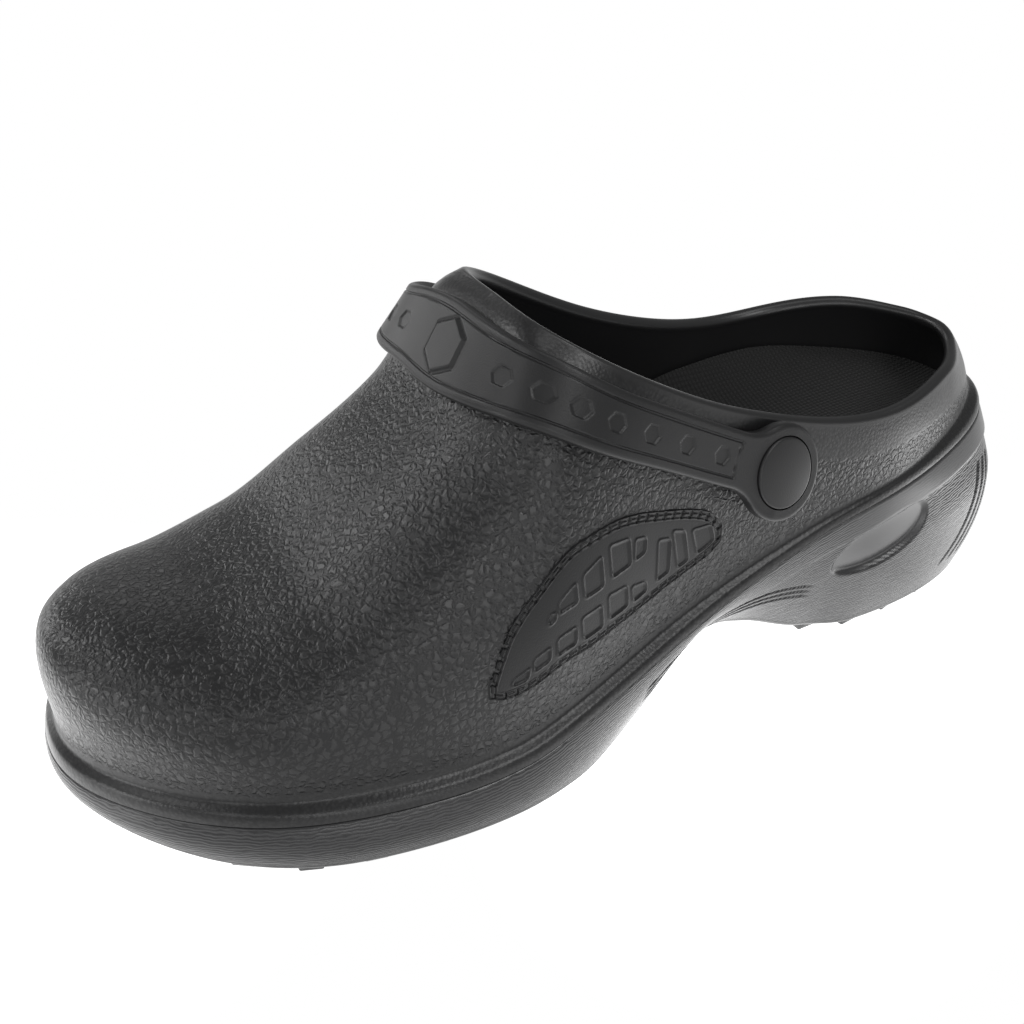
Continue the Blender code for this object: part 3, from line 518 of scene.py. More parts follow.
def wallMarks(u, phi, toTop, openRib):     # where the wall has grain, and where fine pebbles
    s = upperSet
    fromTop, climb = toTop.T, phi.T
    ahead = np.where(u > 0, strapAhead(climb), 0)
    behindStrap = along(u)[None] < strapT(np.degrees(climb)) + ahead
    behindStrap &= climb > math.radians(s["bandFrom"])
    nearLip = np.where(openRib, fromTop, np.inf)
    lip, fade = s["smoothLip"], s["bandFade"]
    bandEnd = lip + s["pebbleBand"]
    smooth = 1 - smoothStep(nearLip, lip - fade, lip + fade)
    fine = np.maximum(1 - smoothStep(nearLip, bandEnd - fade, bandEnd + fade), behindStrap)
    foot = smoothStep(fromTop[:1] - fromTop, *s["footFade"])
    return (1 - fine) * foot, np.maximum(fine * (1 - smooth), 1 - foot)


def makeUpper():
    s = upperSet
    u = ribAngles(*s["ribs"])
    endPhi, openRib = topPhi(u), along(u) < last["collarFront"] + 1e-6
    high = curveAt("rim", u) + last["seamGap"]
    creaseIn, creaseUp = curveAt("baseIn", u), curveAt("baseUp", u) - last["seamGap"]
    lines = [atHeight(insetLine(u, by), high) for by in (creaseIn + last["wall"], 0.5 * creaseIn + 1)]
    firstFlange = len(lines)
    for a in np.linspace(0, np.pi / 2, s["flangeRows"] + 1)[:-1]:
        lines.append(atHeight(insetLine(u, creaseIn * (1 - np.cos(a))), high + creaseUp * np.sin(a)))
    crease = len(lines)
    phi, toTop = spreadPhi(u, endPhi, 0.0, s["wallRows"])
    lines += list(np.swapaxes(wallSkin(u[:, None], phi), 0, 1))
    corner = slice(crease - s["creaseBelow"], crease + s["creaseAbove"])
    for _ in range(s["creaseRounds"]):                    # soften the inner corner over the flange
        near = np.array(lines[corner])
        near[1:-1] = (near[:-2] + 2 * near[1:-1] + near[2:]) / 4
        lines[corner] = list(near)
    ridge = len(lines) - 1
    innerPhi, _ = spreadPhi(u, endPhi, last["wall"], s["innerRows"])
    inner = list(np.swapaxes(wallSkin(u[:, None], innerPhi, last["wall"]), 0, 1))[::-1]
    lines += lipLines(openRib, lines[-1], inner[0], s["lipRows"])
    firstInner = len(lines)
    lines += inner + [lines[0]]
    points = np.array(lines)

    grain, pebble = np.zeros(points.shape[:2]), np.zeros(points.shape[:2])
    pebble[firstFlange:crease] = 1
    wall = slice(crease, ridge + 1)
    grain[wall], pebble[wall] = wallMarks(u, phi, toTop, openRib)
    drop = np.zeros((len(points) - 1, len(u) - 1), bool)
    drop[ridge:firstInner] = ~(openRib[1:] & openRib[:-1])
    marks = {"grainMark": grain, "pebbleMark": pebble}
    return gridPiece("upperShell", points, marks=marks, drop=drop, angle=60)


def upperMaterial():
    s = upperSet
    material, tree, shader = foamMaterial("grainedFoam", s)
    lows = []
    for group, kind in ((cellGrain, "grain"), (finePebble, "pebble")):
        high = useGroup(tree, group, Scale=s[kind + "Scale"]).outputs["Height"]
        low = mathNode(tree, "SUBTRACT", 1.0, high)
        lows.append(mathNode(tree, "MULTIPLY", low, markNode(tree, kind + "Mark")))
    cellLow, dotLow = lows
    # painted shade in the creases of the grain and the pebbles, by lower gloss there
    paintCreaseShade(tree, shader, mathNode(tree, "ADD", cellLow, dotLow), s["paintedCreaseShade"])
    deep = mathNode(tree, "ADD", cellLow, mathNode(tree, "MULTIPLY", dotLow, s["pebbleMm"] / s["grainMm"]))
    addBump(tree, shader, mathNode(tree, "SUBTRACT", 1.0, deep), s["grainMm"])
    return material


upper = makeUpper()
dress(upper, "upper", upperMaterial())
print("upper made")


# The sole: side with its band, scoops and grooves, rounded lower edge and studded underside.
soleSet = {
    "sockThick": 4.0, "bedSideGap": 0.7, "bedShares": (0.0, 0.25, 0.5, 0.75, 0.92, 1.0), "bedWallOut": 0.2,
    "seamIn": 0.45, "seamRound": 0.12, "sideRows": 104, "cornerRows": 6, "underRows": 14,
    "bandHigh": 7.5, "bandMost": 0.45, "bandCalm": 0.85, "bandStep": (0.2, 0.7),
    "shelfHigh": 1.2, "shelfFade": 0.3, "edgeRound": 2.6, "cornerHigh": 2.2,
    "stepPlain": 2.2, "stepArch": 1.0, "stepScoop": 0.5, "stepHeel": 0.28,
    "nearArch": 0.01, "nearHeel": (0.12, 0.04),
    "archFrom": 0.285, "archTo": 0.505, "archRound": 75.0, "archTopT": 0.372, "archTopZ": 31.0,
    "grooveRadius": 0.55, "grooveStep": 2.0, "grooveCount": 3,
    "archFade": (0.004, 0.01), "heelFade": (1.0, 2.0),
    "heelU": (0.46, 0.62), "heelZ": (45.0, 14.0), "heelApart": 0.055, "heelRadius": 0.85, "heelSlant": 0.84,
    "scoopU": 0.94, "scoopF": 0.31, "scoopRise": 0.29, "scoopTilt": 14.0, "scoopSize": (19.0, 8.0, 1.9),
    "scoopLip": 0.87, "scoopMark": 0.97, "scoopFall": 1.8, "scoopCurve": 0.9,
    "scoopReach": 14.0, "scoopHalf": 0.33,
    "studPitch": 17.0, "studGrid": (4, 9), "studSize": 6.8, "studDeep": 2.4, "studEdge": 8.4, "studFlat": 3.4,
    "studRoot": 2.0, "studSlope": 2.0, "studTop": 7.0, "studBevel": 0.6,
    "lugPitch": 15.5, "lugSize": 6.3, "lugEdge": 2.4, "lugTop": 5.4,
    "colour": (0.024, 0.024, 0.025), "roughLow": 0.26, "roughHigh": 0.34, "specular": 0.72,
    "rippleMm": 0.06, "ripplePitch": 0.8, "rippleShake": 11.0, "rippleStretch": 0.45, "rippleNoise": 620.0,
    "paintedCreaseShade": 0.55, "treadDots": (700.0, 0.1),
}


def bedHeight(u, share, drop):
    lateral, medial = curveAt("lateral", u), curveAt("medial", u)
    nearEnd = np.clip(1 - np.abs(np.sin(u)) / last["bedBlend"], 0, 1) ** 2
    edge = np.where(np.sign(u) < 0, lateral, medial) * (1 - nearEnd) + (lateral + medial) / 2 * nearEnd
    middle = curves["middle"](np.clip(along(u), last["heelFan"], last["toeFan"]))
    return middle + (edge - middle) * share ** last["bedCup"] - drop


def bedLines(u, edgeIn, shares, drop):
    edge, foot = insetLine(u, edgeIn), spineLine(u)
    return [atHeight(foot + (edge - foot) * share, bedHeight(u, share, drop)) for share in shares]


def sidePoint(u, f):               # f goes from the rim (0) to the underside (1)
    u, f = np.broadcast_arrays(np.asarray(u, float), np.asarray(f, float))
    high = curveAt("rim", u)
    z = high + (curveAt("bottom", u) - high) * f
    bulge = curveAt("swell", u) * np.sin(np.pi * np.clip(f, 0, 1)) ** last["swellCurve"]
    return atHeight(insetLine(u, curveAt("tuck", u) * f ** last["tuckCurve"] - bulge), z)


def roundGroove(away, radius):
    return radius * np.clip(1 - (away / radius) ** 2, 0, 1)


def grooveDepth(u, z, far):        # moulded lines of the arch and of the heel's corner
    s = soleSet
    depth = np.zeros(z.shape)
    t, angle = along(u), np.abs(u)
    reach = (t - s["archTopT"]) * last["length"]
    slope = reach / s["archRound"]
    out, into = s["archFade"]
    inArch = smoothStep(t, s["archFrom"] - out, s["archFrom"] + into)
    inArch -= smoothStep(t, s["archTo"] - into, s["archTo"] + out)
    (topU, footU), (topZ, footZ) = s["heelU"], s["heelZ"]
    share = np.clip((topZ - z) / (topZ - footZ), 0, 1)
    out, into = s["heelFade"]
    inHeel = smoothStep(z, footZ - out, footZ + into) - smoothStep(z, topZ - into, topZ + out)
    for i in range(s["grooveCount"]):
        archZ = s["archTopZ"] - reach**2 / (2 * s["archRound"]) - s["grooveStep"] * i
        away = np.abs(z - archZ) / np.sqrt(1 + slope**2)
        depth = np.maximum(depth, roundGroove(away, s["grooveRadius"]) * inArch)
        heelU = topU + (footU - topU) * share - s["heelApart"] * i
        away = np.abs(angle - heelU) * far * s["heelSlant"]
        depth = np.maximum(depth, roundGroove(away, s["heelRadius"]) * inHeel)
    return depth


def scoopFrame(side):
    s, step = soleSet, 0.05
    u = side * s["scoopU"]
    origin = sidePoint(u, s["scoopF"])
    run = sidePoint(u - side * step, s["scoopF"]) - sidePoint(u + side * step, s["scoopF"])
    run[2] = s["scoopRise"] * np.linalg.norm(run[:2])
    run /= np.linalg.norm(run)
    fall = sidePoint(u, s["scoopF"] + step) - sidePoint(u, s["scoopF"] - step)
    out = np.cross(run, fall) * -side
    out /= np.linalg.norm(out)
    out *= np.sign(out[1] * side)
    down = np.cross(run, out)
    down *= -np.sign(down[2])
    tilt = math.radians(s["scoopTilt"])
    return origin, run, down * np.cos(tilt) - out * np.sin(tilt), out * np.cos(tilt) + down * np.sin(tilt)


def pressScoop(points, side):      # dish the side with a tilted oval, and say where it stays smooth
    s = soleSet
    origin, run, down, out = scoopFrame(side)
    long, wide, deep = s["scoopSize"]
    d = points - origin
    a, b, c = d @ run / long, d @ down / wide, d @ out
    r = np.hypot(a, b)
    hit = (r < 1) & (np.abs(c) < s["scoopReach"])
    fall = np.clip((b + 1) / s["scoopFall"], 0, 1) ** s["scoopCurve"]
    dish = deep * fall * (1 - smoothStep(r, s["scoopLip"], 1.0))
    points[hit] -= dish[hit][:, None] * out
    return hit * (1 - smoothStep(r, s["scoopMark"], 1.0))


def soleSpacing(u):                # columns stand closer at the grooves and scoops
    s = soleSet
    t, near, (before, after) = along(u), s["nearArch"], s["nearHeel"]
    spacing = np.full(u.shape, s["stepPlain"])
    spacing[(t > s["archFrom"] - near) & (t < s["archTo"] + near)] = s["stepArch"]
    spacing[np.abs(u - s["scoopU"]) < s["scoopHalf"]] = s["stepScoop"]
    spacing[(u > s["heelU"][0] - before) & (u < s["heelU"][1] + after)] = s["stepHeel"]
    return spacing


def soleSide(u, tall, corner):     # rows of the side from the seam down, and where they are rippled
    s = soleSet
    band = np.clip(s["bandHigh"] / tall, 0, s["bandMost"])
    shelf, first = band + s["shelfHigh"] / tall, s["seamIn"] / tall
    far = np.linalg.norm(rimLine(u + 1e-3) - rimLine(u - 1e-3), axis=1) / 2e-3      # mm per unit of angle
    shares = np.linspace(0, 1, s["sideRows"])
    rows = []
    for share in shares:
        f = first + (corner - first) * share
        p = sidePoint(u, f)
        under = smoothStep((f - band) * tall, 0.0, s["shelfHigh"])
        under *= 1 - smoothStep(f, shelf, shelf + s["shelfFade"] * (corner - shelf))
        by = curveAt("step", u) * under + grooveDepth(u, p[:, 2], far)
        p[:, :2] += inwardAt(u) * by[:, None]
        rows.append(p)
    rows = np.array(rows)
    smooth = pressScoop(rows, -1) + pressScoop(rows, 1)
    inBand = shares[:, None] < (band / corner)[None]
    calm = s["bandCalm"] * inBand * smoothStep(curveAt("step", u), *s["bandStep"])
    return rows, 1 - np.clip(smooth + calm, 0, 1)


def makeSole():
    s = soleSet
    u = ringBySpacing(soleSpacing)
    high, low = curveAt("rim", u), curveAt("bottom", u)
    corner = 1 - s["cornerHigh"] / (high - low)
    ring = curveAt("baseIn", u) + last["wall"] + s["bedSideGap"]
    lines = bedLines(u, ring, s["bedShares"], s["sockThick"] + last["seamGap"])
    lines += [atHeight(insetLine(u, by), high) for by in (ring - s["bedWallOut"], s["seamIn"] + 0 * u)]
    lines.append(atHeight(insetLine(u, s["seamRound"] + 0 * u), high - s["seamRound"]))
    firstSide = len(lines)
    rows, rippled = soleSide(u, high - low, corner)
    lines += list(rows)
    lastSide = len(lines)
    start, edge = sidePoint(u, corner), insetLine(u, curveAt("tuck", u) + s["edgeRound"])
    for a in np.linspace(0, np.pi / 2, s["cornerRows"] + 1)[1:]:
        plan = start[:, :2] + (edge - start[:, :2]) * (1 - np.cos(a))
        lines.append(atHeight(plan, start[:, 2] + (low - start[:, 2]) * np.sin(a)))
    foot = spineLine(u)
    for share in np.linspace(1, 0, s["underRows"] + 1)[1:]:
        plan = foot + (edge - foot) * share
        lines.append(atHeight(plan, curves["bottom"](tAt(plan[:, 0]))))
    points = np.array(lines)
    run = runLength(rimLine(u))
    uv = np.stack([np.broadcast_to(run, points.shape[:2]), high[None] - points[..., 2]], -1)
    side = np.zeros(points.shape[:2])
    side[firstSide:lastSide] = rippled
    return gridPiece("soleBody", points, uv=uv, marks={"sideMark": side}, angle=70)


def treadSpots():                  # x, y, turn, radius and sides of each stud and lug
    s = soleSet
    size, (rows, columns) = s["studSize"], s["studGrid"]
    spots = []
    for row in range(-rows, rows + 1):
        for column in range(-columns, columns + 1):
            x, y = (column + row % 2 / 2) * s["studPitch"], row * s["studPitch"] * 3**0.5 / 2
            t = tAt(np.array([x - size, x, x + size]))
            ground = curves["bottom"](t)
            offEnd = np.ptp(t) < size / last["length"]
            if offEnd or np.ptp(ground) > s["studSlope"] or ground.max() > s["studTop"]:
                continue
            room = halfWidth(angleAt(t)) - curves["tuck"](t) - s["edgeRound"] - s["studEdge"] - size
            if (np.abs(y - middleLine(angleAt(t))) < room).all():
                spots.append((x, y, 0.0, size, 6))
    fine = np.linspace(-np.pi, np.pi, 1441)
    line = insetLine(fine, curveAt("tuck", fine) + s["lugEdge"] + s["lugSize"] / 2)
    far = runLength(line)
    for d in np.arange(s["lugPitch"] / 2, far[-1], far[-1] / round(far[-1] / s["lugPitch"])):
        u, x, y = (np.interp(d, far, values) for values in (fine, line[:, 0], line[:, 1]))
        if curveAt("bottom", u) < s["lugTop"]:
            n = inwardAt(u)
            spots.append((x, y, math.atan2(n[1], n[0]) + math.pi / 4, s["lugSize"] / 2**0.5, 4))
    return spots


def makeTread():
    s = soleSet
    studs = []
    for x, y, turn, size, sides in treadSpots():
        z = float(curves["bottom"](tAt(x)))
        foot = z - s["studDeep"] if z > s["studFlat"] else 0.0
        deselectAll()
        root = z + s["studRoot"]
        place = ((x + last["shift"][0]) / 1000, (y + last["shift"][1]) / 1000, (foot + root) / 2000)
        bpy.ops.mesh.primitive_cylinder_add(
            vertices=sides, radius=size / 1000, depth=(root - foot) / 1000, location=place,
            rotation=(0, 0, turn))
        stud = bpy.context.object
        bpy.ops.object.transform_apply(location=True, rotation=True, scale=True)
        lowest = min(v.co.z for v in stud.data.vertices)
        for edge in stud.data.edges:
            edge.select = all(stud.data.vertices[i].co.z < lowest + 1e-5 for i in edge.vertices)
        bpy.ops.object.mode_set(mode="EDIT")
        bpy.ops.mesh.select_mode(type="EDGE")
        bpy.ops.mesh.bevel(offset=s["studBevel"] / 1000, segments=2, affect="EDGES")
        bpy.ops.object.mode_set(mode="OBJECT")
        studs.append(stud)
    deselectAll()
    for stud in studs:
        stud.select_set(True)
    bpy.context.view_layer.objects.active = studs[0]
    bpy.ops.object.join()
    tread = bpy.context.object
    tread.name = tread.data.name = "treadStuds"
    closeMesh(tread, 30)
    return tread


def soleMaterial():
    s = soleSet
    material, tree, shader = foamMaterial("rippledFoam", s)
    place = addNode(tree, "ShaderNodeUVMap").outputs["UV"]
    stretch = addNode(tree, "ShaderNodeMapping", in_Vector=place, in_Scale=(s["rippleStretch"], 1.0, 1.0))
    noise = addNode(tree, "ShaderNodeTexNoise", in_Vector=stretch.outputs["Vector"],
                    in_Scale=s["rippleNoise"], in_Detail=1.5)
    split = addNode(tree, "ShaderNodeSeparateXYZ", in_0=place)
    turns = mathNode(tree, "MULTIPLY", split.outputs["Y"], 2 * math.pi / (s["ripplePitch"] / 1000))
    shake = mathNode(tree, "MULTIPLY", noise.outputs["Fac"], s["rippleShake"])
    wave = mathNode(tree, "SINE", mathNode(tree, "ADD", turns, shake))
    half = mathNode(tree, "MULTIPLY", mathNode(tree, "SUBTRACT", 1.0, wave), 0.5)
    low = mathNode(tree, "MULTIPLY", half, markNode(tree, "sideMark"))
    # painted shade in the troughs of the ripples, by lower gloss there
    paintCreaseShade(tree, shader, low, s["paintedCreaseShade"])
    addBump(tree, shader, mathNode(tree, "SUBTRACT", 1.0, low), s["rippleMm"])
    return material


sole = makeSole()
dress(sole, "sole", soleMaterial())
tread = makeTread()
dress(tread, "sole", dottedMaterial("treadFoam", soleSet, soleSet["treadDots"]))
print("sole made")


# The insole: a cupped foam sock with a knit face.
insoleSet = {
    "thick": 4.0, "sideGap": 0.9, "topRows": 46, "spacing": 1.6,
    "roundMm": 1.0, "roundFrom": 0.97, "roundTurns": (30, 60, 90), "underShares": (1.0, 0.85, 0.6, 0.3, 0.0),
    "colour": (0.009, 0.009, 0.009), "roughLow": 0.7, "roughHigh": 0.85, "specular": 0.35, "mottle": 500.0,
    "sheen": 0.05, "knitMm": 0.55, "knitPitch": 1.9, "knitTurn": 45.0,
}


def makeInsole():
    s = insoleSet
    u = ringBySpacing(lambda a: np.full(a.shape, s["spacing"]))
    by = curveAt("baseIn", u) + last["wall"] + s["sideGap"]
    lines = bedLines(u, by, np.linspace(0, s["roundFrom"], s["topRows"]), 0.0)
    for a in np.radians(s["roundTurns"]):
        share = s["roundFrom"] + (1 - s["roundFrom"]) * np.sin(a)
        lines += bedLines(u, by, (share,), s["roundMm"] * (1 - np.cos(a)))
    lines += bedLines(u, by, s["underShares"], s["thick"])
    points = np.array(lines)
    return gridPiece("insolePad", points, uv=points[..., :2], angle=50)


def insoleMaterial():
    s = insoleSet
    material, tree, shader = foamMaterial("knitCover", s)
    place = addNode(tree, "ShaderNodeUVMap").outputs["UV"]
    turn = (0, 0, math.radians(s["knitTurn"]))
    turned = addNode(tree, "ShaderNodeMapping", in_Vector=place, in_Rotation=turn)
    split = addNode(tree, "ShaderNodeSeparateXYZ", in_0=turned.outputs["Vector"])
    turns = 2 * math.pi / (s["knitPitch"] / 1000)
    across, down = (
        mathNode(tree, "SINE", mathNode(tree, "MULTIPLY", split.outputs[axis], turns)) for axis in ("X", "Y"))
    knit = mathNode(tree, "ADD", mathNode(tree, "MULTIPLY", across, down), 1.0)
    addBump(tree, shader, knit, s["knitMm"] / 2)
    shader.inputs["Sheen Weight"].default_value = s["sheen"]
    return material


insole = makeInsole()
dress(insole, "insole", insoleMaterial())
print("insole made")


# The strap: a band over the instep with a raised plate, small pockets, a fine frame line and two lugs.
def strapPath():                   # distances from the ridge, then place, direction and outward normal
    s, step = strapSet, 0.01
    first, final = strapTable["phi"][0], strapTable["phi"][-1]
    phi = final - (final - first) * np.linspace(1, 0, s["pathPoints"]) ** 2
    u = angleAt(strapT(phi))
    phi = np.radians(phi)
    v = angleAt(along(u) + strapAhead(phi))
    lateral, medial = wallSkin(-u, phi), wallSkin(v, phi)[::-1]
    points = np.concatenate([lateral, medial[1:]])
    lateralSlope = wallSkin(-u - step, phi) - wallSkin(-u + step, phi)
    medialSlope = wallSkin(v + step, phi) - wallSkin(v - step, phi)
    slope = np.concatenate([lateralSlope, medialSlope[::-1][1:]])
    far = runLength(points)
    far -= far[len(lateral) - 1]
    normal = np.cross(np.gradient(points, far, axis=0), slope)
    normal *= np.sign(normal[len(lateral) - 1, 2]) / np.linalg.norm(normal, axis=1, keepdims=True)
    calm = []
    for d in far:                                         # the band is stiff, so it runs smoothly
        near = np.sqrt(np.exp(-((far - d) / s["calm"]) ** 2 / 2) * np.gradient(far))
        _, run, point = np.polyfit(far - d, points, 2, w=near)
        calm.append([point, run, np.polyfit(far - d, normal, 1, w=near)[1]])
    return far, np.array(calm)


pathFar, pathCalm = strapPath()
strapEnds = pathFar[0], pathFar[-1]


def strapFrame(d):                 # origin, then along, across and out; tilted off the wall at the rivets
    s = strapSet
    inside = np.clip(d, *strapEnds)
    origin, run, out = [
        np.array([np.interp(inside, pathFar, column) for column in pathCalm[:, k].T]) for k in range(3)]
    run /= np.linalg.norm(run)
    out -= run * (out @ run)
    out /= np.linalg.norm(out)
    end = strapEnds[1] if inside > 0 else -strapEnds[0]
    share = np.clip((abs(inside) - s["tiltFrom"]) / (end - s["tiltFrom"]), 0, 1) ** 2
    origin += out * s["lift"] * share + run * (d - inside)
    tilt = math.radians(s["tilt"]) * share
    out = out * np.cos(tilt) - np.cross(out, run) * np.sin(tilt)
    return origin, run, np.cross(out, run), out


def strapHalf(d):
    s = strapSet
    end = strapEnds[1] if d > 0 else -strapEnds[0]
    past, radius, fillet = abs(d) - end, s["lugRadius"], s["lugFillet"]
    reach = np.hypot(d, s["ridgeRound"]) - s["ridgeRound"]
    share = np.clip(1 - reach / (end - s["taperStop"]), 0, 1)
    begin = -np.sqrt((radius + fillet) ** 2 - (s["halfEnd"] + fillet) ** 2)
    if past < begin:
        return s["halfEnd"] + (s["halfTop"] - s["halfEnd"]) * share ** s["taper"]
    if past < begin * radius / (radius + fillet):
        return s["halfEnd"] + fillet - np.sqrt(fillet**2 - (past - begin) ** 2)
    return np.sqrt(max(radius**2 - past**2, 0))


def hexEdge(x, y, radius, turn):   # signed distance to a hexagon's sides
    faces = [np.abs(x * np.cos(turn + k * np.pi / 3) + y * np.sin(turn + k * np.pi / 3)) for k in range(3)]
    return np.max(faces, axis=0) - radius * np.cos(np.pi / 6)


def edgeDistance(x, y, outline):   # distance of points to a closed outline, and its nearest point
    best, where = np.zeros(x.size), np.zeros(x.size, int)
    spot, chunk = np.stack([x.ravel(), y.ravel()], 1), 4000
    for i in range(0, x.size, chunk):
        gap = np.linalg.norm(spot[i:i + chunk, None] - outline[None], axis=2)
        where[i:i + chunk] = gap.argmin(1)
        best[i:i + chunk] = gap.min(1)
    return best.reshape(x.shape), where.reshape(x.shape)


def strapRelief(x, y, half):       # plate, pockets and frame line over the band's face
    s = strapSet
    far = x - s["middle"]
    edge = hexEdge(far, y, s["plateRadius"], 0.0)
    h = s["plateUp"] * (1 - smoothStep(edge, -s["plateSlope"], 0.0))
    h -= s["plateLine"] * (1 - smoothStep(np.abs(edge - s["plateLineOut"]), *s["plateLineHalf"]))
    for d in s["cells"]:
        for side in (-1, 1):
            edge = hexEdge(far - side * d, y, s["cellRadius"], np.pi / 6)
            h -= s["cellDeep"] * (1 - smoothStep(edge, *s["cellSlope"]))
    frameHalf = half - s["frameIn"]
    groove = np.zeros(x.shape)
    for end in strapEnds:
        mine = (x < 0) == (end < 0)
        line = 1 - smoothStep(np.abs(np.abs(y) - frameHalf), s["frameFlat"], s["frameWide"])
        line *= (np.abs(x) < abs(end) - np.sqrt(np.clip(s["frameEnd"] ** 2 - y**2, 0, None))) & mine
        arc = 1 - smoothStep(np.abs(np.hypot(x - end, y) - s["frameEnd"]), s["frameFlat"], s["frameWide"])
        arc *= mine & (np.abs(y) < frameHalf)
        groove = np.maximum(groove, np.maximum(line, arc))
    return h - s["frameDeep"] * groove


def makeStrap():
    s = strapSet
    begin, end = strapEnds
    lug = s["lugRadius"] * (1 - np.cos(np.linspace(0, np.pi / 2, s["lugStations"])))
    inside = np.linspace(begin, end, int((end - begin) / s["spacing"]))[1:-1]
    stations = np.concatenate([begin - s["lugRadius"] + lug, inside, end + s["lugRadius"] - lug[::-1]])
    half = np.array([strapHalf(d) for d in stations])
    frames = [strapFrame(d) for d in stations]
    origin, across, out = (np.array([f[k] for f in frames]) for k in (0, 2, 3))
    rim = np.array(s["rimRows"])
    y = []
    for b in half:
        k = rim * min(1, b / s["rimFull"])
        flat = np.linspace(-b + k[-1], b - k[-1], s["acrossRows"] + 2)[1:-1]
        y.append(np.concatenate([-b + k, flat, (b - k)[::-1]]))
    y = np.array(y).T                                     # rows across x stations
    x = np.broadcast_to(stations, y.shape)
    outline = np.concatenate([np.stack([stations, half], 1), np.stack([stations, -half], 1)[::-1]])
    gap, _ = edgeDistance(x, y, outline)
    gap[[0, -1]] = 0
    r = s["edgeRound"]
    fall = r - np.sqrt(np.clip(r * r - (r - np.minimum(gap, r)) ** 2, 0, None))
    top = s["thick"] - fall + strapRelief(x, y, half[None]) * smoothStep(gap, *s["reliefIn"])
    edge, count, step = len(rim), len(y), s["underStep"]
    under = np.r_[:edge, edge + step // 2:count - edge:step, count - edge:count][::-1]    # fewer rows
    high = np.concatenate([top, s["underRound"] * fall[under], top[:1]])
    wide = np.concatenate([y, y[under], y[:1]])
    points = origin[None] + across[None] * wide[..., None] + out[None] * (s["gap"] + high)[..., None]
    return gridPiece("strapBand", points, angle=35)


rivetSet = {
    "discRadius": 9.4, "discThick": 2.3, "seatDeep": 2.2, "seatGap": 0.3, "seatOpen": 6.0, "shankRadius": 3.0,
    "crown": 0.5, "crownRings": 5, "crownStep": 1.5, "crownRise": (0.36, 0.07), "edgeRound": 0.7,
    "capRadius": 7.5, "capThick": 3.6, "capGap": 1.7, "capHole": 2.4, "capRound": 1.1,
    "sides": 96, "roundParts": 5, "smoothAngle": 35,
    "colour": (0.014, 0.014, 0.0145), "roughLow": 0.32, "roughHigh": 0.42, "specular": 0.4,
    "dots": (3200.0, 0.015),
}


def frameMatrix(d):
    origin, e1, e2, up = strapFrame(d)
    origin = (origin + last["shift"]) / 1000
    return Matrix([[e1[i], e2[i], up[i], origin[i]] for i in range(3)] + [[0, 0, 0, 1]])


def roundBar(name, radius, low, high):     # a cylinder in mm, standing on z
    deselectAll()
    bpy.ops.mesh.primitive_cylinder_add(
        vertices=rivetSet["sides"], radius=radius / 1000, depth=(high - low) / 1000,
        location=(0, 0, (low + high) / 2000))
    piece = bpy.context.object
    piece.name = piece.data.name = name
    bpy.ops.object.transform_apply(location=True, rotation=True, scale=True)
    return piece


def pickFaces(piece, test):
    bpy.ops.object.mode_set(mode="OBJECT")
    for item in (*piece.data.vertices, *piece.data.edges, *piece.data.polygons):
        item.select = False
    for face in piece.data.polygons:
        face.select = test(face)
    bpy.ops.object.mode_set(mode="EDIT")
    bpy.ops.mesh.select_mode(type="FACE")


def cutSeats(strap):
    s, face = rivetSet, strapSet["gap"] + strapSet["thick"]
    for d in strapEnds:
        radius = s["discRadius"] + s["seatGap"]
        cutter = roundBar("seatCutter", radius, face - s["seatDeep"], face + s["seatOpen"])
        cutter.data.transform(frameMatrix(d))
        deselectAll()
        bpy.context.view_layer.objects.active = strap
        strap.select_set(True)
        cut = strap.modifiers.new("seat", "BOOLEAN")
        cut.operation, cut.object, cut.solver = "DIFFERENCE", cutter, "EXACT"
        bpy.ops.object.modifier_apply(modifier=cut.name)
        bpy.data.objects.remove(cutter)
    deselectAll()
    strap.select_set(True)
    bpy.ops.object.shade_smooth_by_angle(angle=math.radians(s["smoothAngle"]))


def capFace():                     # height of the cap's outer face, behind the wall
    return -strapSet["lift"] - last["wall"] - rivetSet["capGap"]


def finishRivet(piece, d):         # from its own axis to its place on the strap
    bpy.ops.object.mode_set(mode="OBJECT")
    piece.data.transform(frameMatrix(d))
    closeMesh(piece, rivetSet["smoothAngle"])
    return piece


def makeButton(name, d):           # crowned disc with its shank
    s = rivetSet
    seat = strapSet["gap"] + strapSet["thick"] - s["seatDeep"] + s["seatGap"]
    end = capFace() - s["capHole"] + s["seatGap"]
    piece = roundBar(name, s["discRadius"], seat, seat + s["discThick"])
    pickFaces(piece, lambda face: face.normal.z > 0.9)
    bpy.ops.mesh.bevel(offset=s["edgeRound"] / 1000, segments=s["roundParts"], affect="EDGES")
    pickFaces(piece, lambda face: face.normal.z > 0.999 and len(face.vertices) > 8)
    first, less = s["crownRise"]
    for ring in range(s["crownRings"]):
        bpy.ops.mesh.inset(thickness=s["crownStep"] / 1000)
        bpy.ops.transform.translate(value=(0, 0, s["crown"] * (first - less * ring) / 1000))
    pickFaces(piece, lambda face: face.normal.z < -0.9)
    bpy.ops.mesh.inset(thickness=(s["discRadius"] - s["shankRadius"]) / 1000)
    bpy.ops.mesh.extrude_region_move(TRANSFORM_OT_translate={"value": (0, 0, (end - seat) / 1000)})
    return finishRivet(piece, d)


